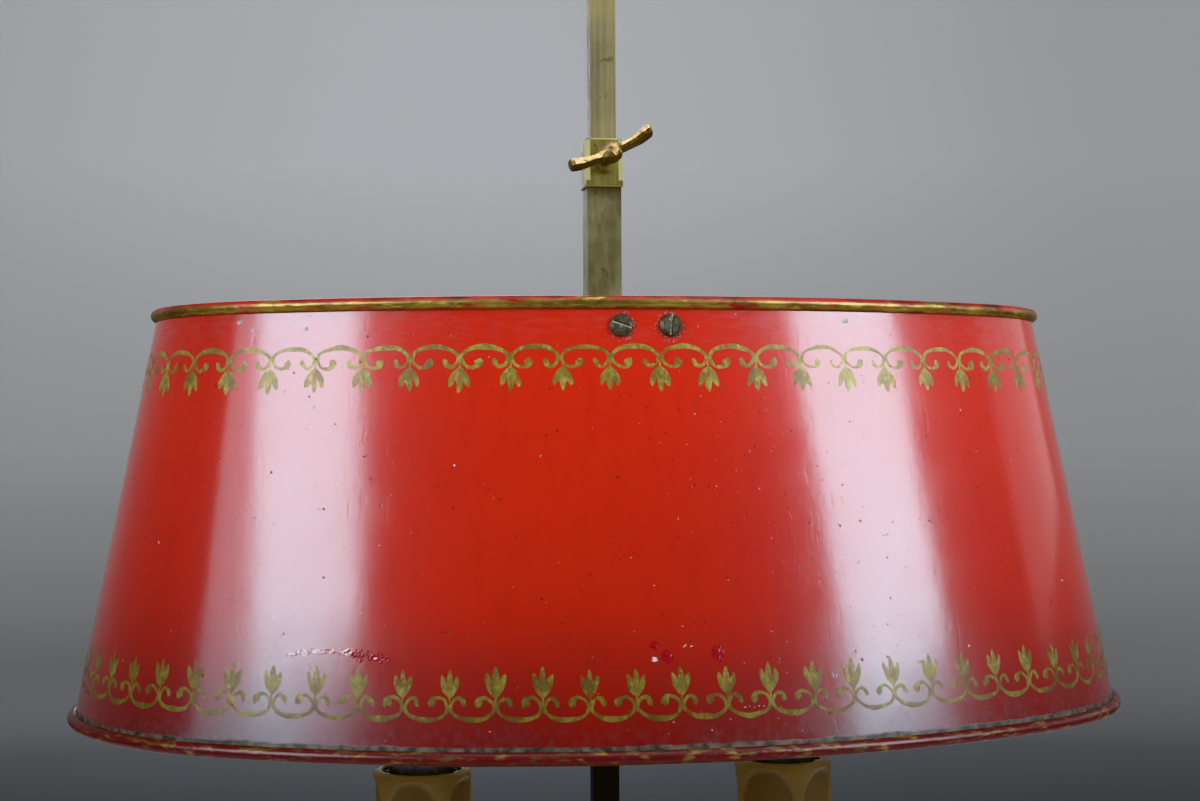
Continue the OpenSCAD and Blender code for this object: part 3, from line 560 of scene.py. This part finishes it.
def mottled(name, scale, low, high, first, second, detail=3.0):
    """A material whose colour changes between two in patches."""
    m, tree, skin, where = new_material(name)
    tree.links.new(blend(tree, spots(tree, where, scale, low, high, detail), first, second),
                   skin.inputs["Base Color"])
    return m, tree, skin, where


ground_coat, tree, skin, where = mottled("pale_ground_coat", 900, 0.4, 0.65, rgb(0.55, 0.50, 0.46),
                                         rgb(0.22, 0.17, 0.14))
skin.inputs["Roughness"].default_value = 0.6


def raised_lacquer(name, dark, light, pale, pale_from, uneven):
    """Lacquer that heat has lifted: glossy and uneven, with lighter spots painted on as glints."""
    m, tree, skin, where = new_material(name)
    body = blend(tree, spots(tree, where, 1100, 0.4, 0.6), dark, light)
    body = blend(tree, spots(tree, where, 900, pale_from, pale_from + 0.07), body, pale)
    tree.links.new(body, skin.inputs["Base Color"])
    skin.inputs["Roughness"].default_value = 0.13
    bumps(tree, skin, spots(tree, where, 1300, 0.3, 0.7, 2), uneven, 0.0003)
    return m


blister = raised_lacquer("blistered_lacquer", rgb(0.20, 0.010, 0.012), rgb(0.27, 0.014, 0.015),
                         rgb(0.32, 0.05, 0.055), 0.64, 0.35)
# The wrinkle's pinkish body and pale spots are partly painted highlight: the window's reflection and glints
# on its crests
wrinkle = raised_lacquer("wrinkled_lacquer", rgb(0.40, 0.12, 0.12), rgb(0.52, 0.26, 0.27),
                         rgb(0.72, 0.60, 0.61), 0.48, 0.6)
grit, tree, skin, where = mottled("dark_grit", 400, 0.4, 0.6, rgb(0.24, 0.022, 0.014),
                                  rgb(0.12, 0.022, 0.015))
skin.inputs["Roughness"].default_value = 0.75
skin.inputs["Specular IOR Level"].default_value = 0.15
hand = random.Random(21)
bm = bmesh.new()
# Each mark in mm: along from the front's middle, up from the bottom bead, half width, half height
knocks = ((-136.5, 128.4, 1.3, 0.8), (-130.4, 125.5, 0.8, 0.6), (-111.1, 125.7, 0.8, 0.7),
          (69.2, 127.9, 1.7, 0.7), (-1.4, 27.4, 0.9, 0.9), (7.2, 36.7, 0.25, 0.25),
          (7.6, 31.1, 0.7, 0.22), (9.4, 30.9, 0.5, 0.14), (24.2, 13.1, 0.34, 0.13),
          (25.6, 13.3, 0.30, 0.15), (27.0, 13.0, 0.34, 0.12), (28.4, 13.3, 0.28, 0.14),
          (29.8, 13.2, 0.26, 0.11), (51.9, 21.2, 0.32, 0.9), (53.0, 20.8, 0.2, 0.7),
          (101.0, 26.7, 0.4, 0.5), (-91.8, 118.3, 0.4, 0.3), (-60.0, 84.0, 0.35, 0.35),
          (112.0, 100.0, 0.4, 0.35), (150.0, 44.0, 0.5, 0.4), (-160.0, 60.0, 0.4, 0.5),
          (262.0, 90.0, 0.9, 0.6), (420.0, 30.0, 0.8, 0.9), (-340.0, 118.0, 1.0, 0.6),
          (300.0, 52.0, 0.5, 0.5))
for along, rise, wide, tall in knocks:
    flake(bm, along * mm, rise * mm, wide * mm, tall * mm, 0.00001, hand)
chips = add_mesh("lacquer_chips", bm, [ground_coat])
bm = bmesh.new()
wrinkle_from, wrinkle_long, wrinkle_flakes = -108.2, 31, 120
for i in range(wrinkle_flakes):
    t = (i + hand.random()) / wrinkle_flakes
    ridge = 28.5 + 1.9 * math.sin(2.6 * t) - 1.8 * t * t
    spread = 0.35 + 0.9 * max(0.0, t - 0.45)
    flake(bm, (wrinkle_from + wrinkle_long * t) * mm, (ridge - spread / 2 + hand.gauss(0, spread)) * mm,
          hand.uniform(0.3, 0.8) * mm, hand.uniform(0.25, 0.6) * mm, hand.uniform(0.15, 0.40) * mm, hand)
    if t > hand.uniform(0.4, 0.9):
        bm.faces.ensure_lookup_table()
        for face in bm.faces[-flake_sides:]:
            face.material_index = 1
wrinkles = add_mesh("lacquer_wrinkle", bm, [wrinkle, blister])
bm = bmesh.new()
for along, rise, wide, tall in ((-1.1, 31.5, 1.2, 1.5), (2.2, 28.0, 2.1, 1.8), (17.2, 28.8, 2.2, 2.2),
                                (330.0, 70.0, 1.2, 0.9)):
    flake(bm, along * mm, rise * mm, wide * mm, tall * mm, 0.00015, hand)
blisters = add_mesh("lacquer_blisters", bm, [blister])
hand = random.Random(34)
bm = bmesh.new()
grains = 420
for i in range(grains):
    grain = hand.triangular(0.14, 0.46, 0.22) * mm
    flake(bm, hand.random(), hand.uniform(0.008, 0.126), grain, grain, 0.00001, hand)
stuck = add_mesh("stuck_grit", bm, [grit])
for marks in (chips, wrinkles, blisters, stuck):
    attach(marks, "shade_carriage")


# ---- Old brass of the stem, the clamp and the strap
# Drawn and filed brass that has gone olive brown, with long draw marks, brighter where hands
# and the sliding parts rub it. Painted shade blackens the rod under the shade and the tube just
# under the collar, and the bevels carry painted highlight.
def old_brass(name, bright, dull, deep, metallic=0.85, rough=(0.30, 0.48), along=(1, 1, 0.04)):
    """Brass in three tones with draw marks along it, and a broad bump over the marks' fine one."""
    m, tree, skin, where = new_material(name)
    body = blend(tree, spots(tree, where, 34, 0.35, 0.68, 4), bright, dull)
    drawn = spots(tree, where, 420, 0.42, 0.7, 3, along)
    body = blend(tree, times(tree, drawn, 0.7), body, deep)
    body = blend(tree, spots(tree, where, 240, 0.64, 0.72, 4), body, deep)
    tree.links.new(body, skin.inputs["Base Color"])
    skin.inputs["Metallic"].default_value = metallic
    uneven_gloss(tree, skin, where, 90, *rough)
    draw = bumps(tree, skin, spots(tree, where, 700, 0.3, 0.7, 2, along), 0.25, 0.00006)
    bumps(tree, skin, spots(tree, where, 120, 0.3, 0.7, 4), 0.18, 0.00025, draw)
    return m


def colour_so_far(skin):
    """The link that gives a shader its colour up to now, to mix more over."""
    return skin.inputs["Base Color"].links[0].from_socket


stem_brass = old_brass("stem_brass", rgb(0.36, 0.30, 0.15), rgb(0.25, 0.215, 0.115),
                       rgb(0.13, 0.11, 0.055), 0.5, (0.36, 0.52))
tree, skin = stem_brass.node_tree, stem_brass.node_tree.nodes["Principled BSDF"]
where = tree.nodes.new("ShaderNodeTexCoord").outputs["Object"]
height = node(tree, "SeparateXYZ", Vector=where).outputs[2]
# Painted shade: under the shade the rod is painted near black, where the shade keeps the light off it
shade_black_top, shade_black_foot = 0.430, 0.318   # the rod blackens downwards between these heights
shade_black_height = combine(tree, "ADD", height, times(tree, spots(tree, where, 70, 0.3, 0.7, 4), 0.03))
painted_shade_below = ramp(tree, shade_black_height, shade_black_top, shade_black_foot)
rubbed = ramp(tree, height, 0.5480, 0.5530)
body = blend(tree, painted_shade_below, colour_so_far(skin), rgb(0.020, 0.015, 0.010))
tree.links.new(blend(tree, times(tree, rubbed, 0.4), body, rgb(0.40, 0.32, 0.11)),
               skin.inputs["Base Color"])
collar_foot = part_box("clamp_collar")[0].z
tube_brass = old_brass("tube_brass", rgb(0.285, 0.245, 0.125), rgb(0.195, 0.175, 0.095),
                       rgb(0.125, 0.095, 0.045), 0.5, (0.36, 0.50), (1, 1, 0.3))
tree, skin = tube_brass.node_tree, tube_brass.node_tree.nodes["Principled BSDF"]
where = tree.nodes.new("ShaderNodeTexCoord").outputs["Object"]
height = node(tree, "SeparateXYZ", Vector=where).outputs[2]
# Painted shadow: the tube is darkened just under the collar's foot
painted_shadow_under_collar = ramp(tree, height, collar_foot - 0.005, collar_foot - 0.0004, 0.0, 0.8)
tree.links.new(blend(tree, painted_shadow_under_collar, colour_so_far(skin), rgb(0.060, 0.036, 0.018)),
               skin.inputs["Base Color"])
collar_brass = old_brass("collar_brass", rgb(0.37, 0.315, 0.115), rgb(0.25, 0.205, 0.075),
                         rgb(0.14, 0.10, 0.035), 0.75)
for finish, bare in ((collar_brass, rgb(0.56, 0.50, 0.25)), (tube_brass, rgb(0.42, 0.40, 0.27))):
    tree, skin = finish.node_tree, finish.node_tree.nodes["Principled BSDF"]
    facing = node(tree, "SeparateXYZ", Vector=node(tree, "NewGeometry").outputs["Normal"])
    slant = 0.0
    for first, second in ((0, 1), (1, 2), (0, 2)):
        both = times(tree, facing.outputs[first], facing.outputs[second])
        slant = combine(tree, "MAXIMUM", combine(tree, "ABSOLUTE", both), slant)
    # Bevels are brighter: partly rubbed bare, partly painted highlight where they catch the light
    rubbed_and_highlit_corner = times(tree, ramp(tree, slant, 0.30, 0.42), 0.8)
    tree.links.new(blend(tree, rubbed_and_highlit_corner, colour_so_far(skin), bare), skin.inputs["Base Color"])


def dress(finish, *names):
    """Gives CAD nodes a finish in place of their plain packed one."""
    for name in names:
        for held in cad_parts[name].material_slots:
            held.material = finish


dress(stem_brass, "stem_rod")
dress(tube_brass, "slide_tube", "crossbar", "tube_ferrule")
dress(collar_brass, "clamp_collar")


# ---- The shade's screws and nuts
# Four blackened steel screws with slotted cheese heads, two in front and two behind. Pale dust
# fills their slots, and drivers have scraped the lacquer round them.
dark_steel, tree, skin, where = new_material("dark_screw_steel")
body = blend(tree, spots(tree, where, 900, 0.4, 0.7), rgb(0.120, 0.100, 0.066), rgb(0.058, 0.046, 0.031))
tree.links.new(blend(tree, spots(tree, where, 500, 0.62, 0.7), body, rgb(0.27, 0.23, 0.15)),
               skin.inputs["Base Color"])
skin.inputs["Metallic"].default_value = 0.6
skin.inputs["Roughness"].default_value = 0.45
bumps(tree, skin, spots(tree, where, 1500, 0.3, 0.7), 0.4, 0.0001)
dress(dark_steel, "shade_screws", "shade_nuts")
pale_dust, tree, skin, where = mottled("slot_dust", 1500, 0.35, 0.65, rgb(0.40, 0.37, 0.26),
                                       rgb(0.17, 0.15, 0.10), 4)
skin.inputs["Roughness"].default_value = 0.8
scraped, tree, skin, where = mottled("scraped_lacquer", 1300, 0.40, 0.62, rgb(0.40, 0.17, 0.14),
                                     rgb(0.30, 0.05, 0.035), 4)
skin.inputs["Roughness"].default_value = 0.5
screw_rise = 0.4379 - shade_floor
screw_beside = 0.0076              # each screw's distance from the middle of its side
lean = math.atan2(lean_in, shade_rise)
dust_long, dust_wide, dust_deep, dust_out = 6.3, 0.66, 0.3, 1.15


def turn_about(bm, angle, axis):
    """Turns everything in a bmesh about an axis through the origin."""
    bmesh.ops.rotate(bm, verts=bm.verts, cent=(0, 0, 0), matrix=Matrix.Rotation(angle, 3, axis))


hand = random.Random(8)
# Each screw: to the left or right, in front or behind, and its slot's angle
screws = ((-screw_beside, 0, -20), (screw_beside, 0, 82), (-screw_beside, 1, 35), (screw_beside, 1, -64))
for i, (beside, turned, slot) in enumerate(screws):
    bm = bmesh.new()
    bmesh.ops.create_cube(bm, size=1)
    bmesh.ops.subdivide_edges(bm, edges=bm.edges, cuts=5, use_grid_fill=True)
    for v in bm.verts:
        crumb = noise.noise(v.co * 9 + Vector((i * 5, 0, 0)))
        v.co = Vector((v.co.x * dust_long, v.co.y * dust_wide, v.co.z * dust_deep + 0.12 * crumb)) * mm
    turn_about(bm, math.radians(slot), "Z")
    bmesh.ops.translate(bm, verts=bm.verts, vec=(0, 0, dust_out * mm))
    radius = side_radius - lean_in * screw_rise / shade_rise + skin_out
    turn_about(bm, math.pi / 2 - lean, "X")
    bmesh.ops.translate(bm, verts=bm.verts, vec=(0, -radius, 0))
    turn_about(bm, math.asin(beside / radius), "Z")
    bmesh.ops.translate(bm, verts=bm.verts, vec=(0, side_centre, shade_floor + screw_rise))
    turn_about(bm, math.pi * turned, "Z")
    dust = add_mesh("slot_dust_%d" % (i + 1), bm, [pale_dust])
    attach(dust, "shade_carriage")
bm = bmesh.new()
lean_there = lean_in * mark_rise / shade_rise
half_lap = 2 * (side_half * (side_radius - lean_there) + end_half * (end_radius - lean_there))
scrapes_each = 80
for beside, turned, _ in screws:
    for i in range(scrapes_each):
        a, reach = hand.uniform(0, math.tau), hand.triangular(3.4, 5.4, 3.6) * mm
        flake(bm, turned * half_lap + beside + reach * math.cos(a), screw_rise + reach * math.sin(a),
              hand.uniform(0.12, 0.40) * mm, hand.uniform(0.12, 0.36) * mm, 0.00002, hand)
scrapes = add_mesh("scraped_screw_rims", bm, [scraped])
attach(scrapes, "shade_carriage")


# ---- Turned and spun brass of the stand
# Spun dish, turned column and cast hub and arms: warm brass under old lacquer, brown in
# patches, with fine turning marks.
stand_brass = old_brass("stand_brass", rgb(0.51, 0.385, 0.16), rgb(0.40, 0.295, 0.12), rgb(0.21, 0.145, 0.06),
                        0.92, (0.23, 0.38), (1, 1, 6))
dress(stand_brass, "base_foot", "base_dish", "column_foot", "column_base_ring", "column_shaft",
      "column_capital", "hub_body", "hub_cap", "finial", "switch_nut", "left_arm", "right_arm",
      "left_cup", "right_cup", "left_drip_pan", "right_drip_pan")


# ---- The clamp key
# A small brass casting, filed by hand to flats that never quite match: an oval boss, a neck
# down to the thread, and two wings that swell and turn up to their tips.
key_at = Vector((0, -0.0205, 0.5007))
key_tilt = math.radians(24.5)


cast_brass, tree, skin, where = new_material("cast_key_brass")
body = blend(tree, spots(tree, where, 210, 0.35, 0.68, 4), rgb(0.74, 0.54, 0.23), rgb(0.25, 0.15, 0.055))
body = blend(tree, spots(tree, where, 520, 0.50, 0.68, 3), body, rgb(0.13, 0.07, 0.03))
facing = node(tree, "SeparateXYZ", Vector=node(tree, "NewGeometry").outputs["Normal"]).outputs[2]
# Painted shade: faces turned downwards are darker
painted_shade_underside = times(tree, ramp(tree, facing, -0.05, -0.55), 0.9)
body = blend(tree, painted_shade_underside, body, rgb(0.09, 0.05, 0.025))
tree.links.new(body, skin.inputs["Base Color"])
skin.inputs["Metallic"].default_value = 0.9
uneven_gloss(tree, skin, where, 500, 0.26, 0.42)
bumps(tree, skin, spots(tree, where, 1100, 0.3, 0.7, 4), 0.35, 0.00012)

bm = bmesh.new()
filing = random.Random(3)
# Each station of a wing: out along the span, up, forward, thickness and depth, in mm
wing = ((2.2, 0.0, 0.0, 2.8, 4.6), (4.2, 0.0, 0.1, 3.3, 5.2), (6.4, 0.05, 0.7, 3.0, 5.8),
        (8.8, 0.2, 1.5, 3.3, 6.3), (11.2, 0.5, 2.3, 3.8, 6.8), (13.4, 0.95, 3.2, 4.2, 7.0),
        (15.0, 1.25, 3.8, 4.0, 6.4), (15.5, 1.3, 3.9, 2.8, 4.6))
for side in (1, -1):
    rings = []
    for i, (out, lift, forward, thick, deep) in enumerate(wing):
        flip = 0.85 if side < 0 else 1.0
        at_end = i in (0, len(wing) - 1)
        ring = bmesh.ops.create_circle(bm, cap_ends=at_end, segments=10, radius=1)["verts"]
        for v in ring:
            square = 1 / max(abs(v.co.x), abs(v.co.y)) ** 0.55
            rake = 0.24 * v.co.y * square * deep / 2
            v.co = Vector((side * out + filing.uniform(-0.1, 0.1),
                           lift + rake + v.co.x * square * thick / 2 * flip + filing.uniform(-0.09, 0.09),
                           forward + v.co.y * square * deep / 2 + filing.uniform(-0.12, 0.12))) * mm
        rings.append([e for e in bm.edges if e.verts[0] in ring and e.verts[1] in ring
                      and len(e.link_faces) < 2])
    for near, far in zip(rings, rings[1:]):
        bmesh.ops.bridge_loops(bm, edges=near + far)
key_boss = bmesh.ops.create_icosphere(bm, subdivisions=2, radius=1)["verts"]
for v in key_boss:
    v.co = Vector((v.co.x * 4.9, v.co.y * 3.9, v.co.z * 3.7)) * mm * filing.uniform(0.93, 1.03)
# The neck's outline, (radius, forward) in mm, from inside the boss down to the thread
neck_line = ((0.0, -2.2), (3.1, -2.4), (3.3, -3.6), (3.1, -4.9), (2.65, -5.8), (2.5, -7.0),
             (2.5, -15.6), (1.9, -16.0), (0.0, -16.0))
neck = profile(bm, [Vector((r, 0, z)) * mm for r, z in neck_line], False)
bmesh.ops.spin(bm, geom=neck, cent=(0, 0, 0), axis=(0, 0, 1), dvec=(0, 0, 0), angle=math.tau, steps=24,
               use_merge=True)
bmesh.ops.remove_doubles(bm, verts=bm.verts, dist=2e-6)
bmesh.ops.recalc_face_normals(bm, faces=bm.faces)
# Drawn as seen from the front, z towards the viewer, and now turned to its place
turn_about(bm, key_tilt, "Z")
turn_about(bm, math.pi / 2, "X")
bmesh.ops.translate(bm, verts=bm.verts, vec=key_at)
key = add_mesh("cast_clamp_key", bm, [cast_brass], smooth=False)
softened = key.modifiers.new("filed_edges", "BEVEL")
softened.width, softened.segments, softened.limit_method, softened.angle_limit = 0.00016, 2, "ANGLE", 0.2
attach(key, "key")
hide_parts("clamp_key")


# ---- The candle sleeves
# Honey-brown resin tubes moulded as guttering candles: a rolled rim of wax from which runs
# of several lengths come down, with arches of bare candle between them.
honey, tree, skin, where = new_material("honey_resin")
body = blend(tree, spots(tree, where, 60, 0.35, 0.7), rgb(0.235, 0.150, 0.056), rgb(0.18, 0.108, 0.040))
body = blend(tree, spots(tree, where, 300, 0.66, 0.76), body, rgb(0.12, 0.07, 0.03))
hollow = node(tree, "Attribute", attribute_name="wax_depth").outputs["Fac"]
body = blend(tree, ramp(tree, hollow, 0.75, 0.15, 0.0, 0.55), body, rgb(0.085, 0.050, 0.022))
tree.links.new(body, skin.inputs["Base Color"])
skin.inputs["Roughness"].default_value = 0.38
bumps(tree, skin, spots(tree, where, 260, 0.3, 0.7), 0.15, 0.0002)
wax = 1.2                          # the wax's thickness on the candle, in mm
candle_radius, bore_radius = 15.8, 13.4
degree = 0.297                     # a degree's length round the wax, in mm
# Each run of wax: its place round the candle in degrees, its length and half its width in mm
left_runs = ((-52, 31, 2.6), (23, 44, 2.4), (92, 24, 2.8), (160, 52, 2.3), (231, 36, 2.6))
right_runs = ((-78, 38, 2.6), (6, 26, 2.5), (74, 48, 2.3), (142, 30, 2.7), (212, 42, 2.4))
for name, candle_x, runs in (("left", -64, left_runs), ("right", 64, right_runs)):
    low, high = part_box(name + "_sleeve")
    tube_low, tube_high = low.z / mm, high.z / mm + 0.8
    bm = bmesh.new()
    rows = 84
    wall_tall = tube_high - 1.1 - tube_low
    outside = [Vector((candle_radius, 0, tube_low + wall_tall * i / rows)) for i in range(rows + 1)]
    rim = [Vector((r, 0, tube_high + z)) for r, z in ((15.5, -0.5), (14.9, -0.1), (14.2, 0), (13.6, -0.2),
                                                      (bore_radius, -0.7))]
    bore = [Vector((bore_radius, 0, tube_low + 2)), Vector((14.3, 0, tube_low))]
    bmesh.ops.spin(bm, geom=profile(bm, outside + rim + bore), cent=(0, 0, 0), axis=(0, 0, 1), dvec=(0, 0, 0),
                   angle=math.tau, steps=120, use_merge=True)
    bmesh.ops.remove_doubles(bm, verts=bm.verts, dist=1e-4)
    depth = bm.verts.layers.float.new("wax_depth")
    gaps = [(a, b + (360 if b < a else 0)) for (a, _, _), (b, _, _) in zip(runs, runs[1:] + runs[:1])]
    for v in bm.verts:
        v[depth] = 1.0
        if v.co.xy.length < 14.8:
            continue
        turn = math.degrees(math.atan2(v.co.x, -v.co.y))
        down = tube_high - v.co.z
        lowest, swell = 0.0, 1.0
        for at, length, half in runs:
            off = abs((turn - at + 180) % 360 - 180) * degree
            if off < half:
                lowest = max(lowest, length - half + math.sqrt(half * half - off * off))
                swell = 0.72 + 0.28 * math.sqrt(1 - (off / half) ** 2)
                swell += 0.20 * math.exp(-((down - length + 2.6) / 3.0) ** 2)
        for a, b in gaps:
            place = a + (turn - a) % 360
            if place < b:
                middle, reach = (a + b) / 2, (b - a) / 2 * degree - 2.2
                u = min(1.0, abs(place - middle) * degree / max(reach, 1))
                lowest = max(lowest, 2.1 + 11.0 * (1 - math.sqrt(1 - u * u)))
        t = max(0.0, min(1.0, (lowest - down) / 0.8 + 0.5))
        v[depth] = t
        grow = wax * swell * t * t * (3 - 2 * t) if down > 0.9 else wax * max(0.0, down) / 0.9 * 0.8
        wobble = 0.12 * noise.noise(v.co * 0.16) * (t if down > 1.5 else 0)
        radius = v.co.xy.length
        v.co.xy *= (radius + min(grow, 1.18) + wobble - 0.02) / radius
    bmesh.ops.recalc_face_normals(bm, faces=bm.faces)
    bmesh.ops.scale(bm, vec=(mm, mm, mm), verts=bm.verts)
    bmesh.ops.translate(bm, vec=(candle_x * mm, 0, 0), verts=bm.verts)
    candle = add_mesh(name + "_wax_sleeve", bm, [honey])
    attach(candle, "stand")
    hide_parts(name + "_sleeve")


# ---- Lampholders and bulbs
# Pressed holders gone nearly black, with white insulators, and satin glass candle bulbs in
# bare metal caps.
holder_metal, tree, skin, where = mottled("darkened_holder", 160, 0.4, 0.7, rgb(0.085, 0.075, 0.06),
                                          rgb(0.03, 0.028, 0.027), 4)
skin.inputs["Metallic"].default_value = 0.85
uneven_gloss(tree, skin, where, 300, 0.25, 0.42)

cap_metal, tree, skin, where = mottled("bulb_cap_metal", 260, 0.4, 0.7, rgb(0.30, 0.30, 0.30),
                                       rgb(0.17, 0.17, 0.175), 3)
skin.inputs["Metallic"].default_value = 0.95
uneven_gloss(tree, skin, where, 500, 0.30, 0.42)

satin_glass, tree, skin, where = mottled("satin_bulb_glass", 40, 0.3, 0.7, rgb(0.90, 0.885, 0.85),
                                         rgb(0.85, 0.83, 0.79))
skin.inputs["Transmission Weight"].default_value = 0.22
skin.inputs["Roughness"].default_value = 0.34
skin.inputs["IOR"].default_value = 1.5

white_moulding, tree, skin, where = mottled("white_insulator", 120, 0.4, 0.7, rgb(0.78, 0.76, 0.71),
                                            rgb(0.68, 0.65, 0.59))
skin.inputs["Roughness"].default_value = 0.4
for side in ("left", "right"):
    dress(holder_metal, side + "_holder_cap", side + "_barrel", side + "_plungers")
    dress(cap_metal, side + "_bulb_cap")
    dress(satin_glass, side + "_bulb_glass")
    dress(white_moulding, side + "_insulator")
dress(white_moulding, "splice_caps")


# ---- The switch
# A rotary switch in the hub's front: a blackened bush held by a brass nut, and a knob of
# polished dark brown moulding with ribs to grip.
brown_moulding, tree, skin, where = mottled("brown_moulding", 110, 0.35, 0.7, rgb(0.055, 0.026, 0.014),
                                            rgb(0.028, 0.014, 0.009), 4)
uneven_gloss(tree, skin, where, 260, 0.20, 0.34)
bumps(tree, skin, spots(tree, where, 900, 0.3, 0.7), 0.12, 0.00006)
dress(brown_moulding, "switch_knob")
dress(dark_steel, "switch_body")


# ---- Iron, steel, felt and the small inner parts
# The wires in the shade's edges, the plated tie parts that clamp the column, the cast weight,
# the felt, the cord's bush and the leads in the arms.
plated, tree, skin, where = mottled("plated_steel", 300, 0.4, 0.7, rgb(0.55, 0.55, 0.53),
                                    rgb(0.36, 0.35, 0.33), 3)
skin.inputs["Metallic"].default_value = 0.95
uneven_gloss(tree, skin, where, 500, 0.28, 0.45)
dress(plated, "tie_tube", "tie_washer", "tie_nuts", "stem_nut", "left_riser", "right_riser")

iron, tree, skin, where = mottled("iron_wire", 240, 0.4, 0.65, rgb(0.20, 0.185, 0.17),
                                  rgb(0.16, 0.075, 0.035), 4)
skin.inputs["Metallic"].default_value = 0.7
skin.inputs["Roughness"].default_value = 0.5
dress(iron, "top_edge_wire", "bottom_edge_wire")

casting, tree, skin, where = mottled("rough_casting", 150, 0.35, 0.7, rgb(0.13, 0.13, 0.13),
                                     rgb(0.07, 0.065, 0.06), 4)
skin.inputs["Roughness"].default_value = 0.75
bumps(tree, skin, spots(tree, where, 500, 0.3, 0.7, 5), 0.6, 0.0005)
dress(casting, "base_weight")

wool, tree, skin, where = mottled("green_wool_felt", 1300, 0.35, 0.65, rgb(0.035, 0.085, 0.04),
                                  rgb(0.06, 0.13, 0.065), 5)
skin.inputs["Roughness"].default_value = 0.95
skin.inputs["Sheen Weight"].default_value = 0.4
bumps(tree, skin, spots(tree, where, 1800, 0.3, 0.7, 5), 0.8, 0.0004)
dress(wool, "felt_pad")

black_moulding, tree, skin, where = mottled("black_bush_moulding", 400, 0.4, 0.7, rgb(0.028, 0.026, 0.025),
                                            rgb(0.045, 0.042, 0.04))
skin.inputs["Roughness"].default_value = 0.45
dress(black_moulding, "cord_bushing")

lead_cover, tree, skin, where = mottled("lead_cover", 500, 0.4, 0.7, rgb(0.62, 0.54, 0.36),
                                        rgb(0.50, 0.42, 0.27))
skin.inputs["Roughness"].default_value = 0.6
dress(lead_cover, "left_arm_lead", "right_arm_lead")
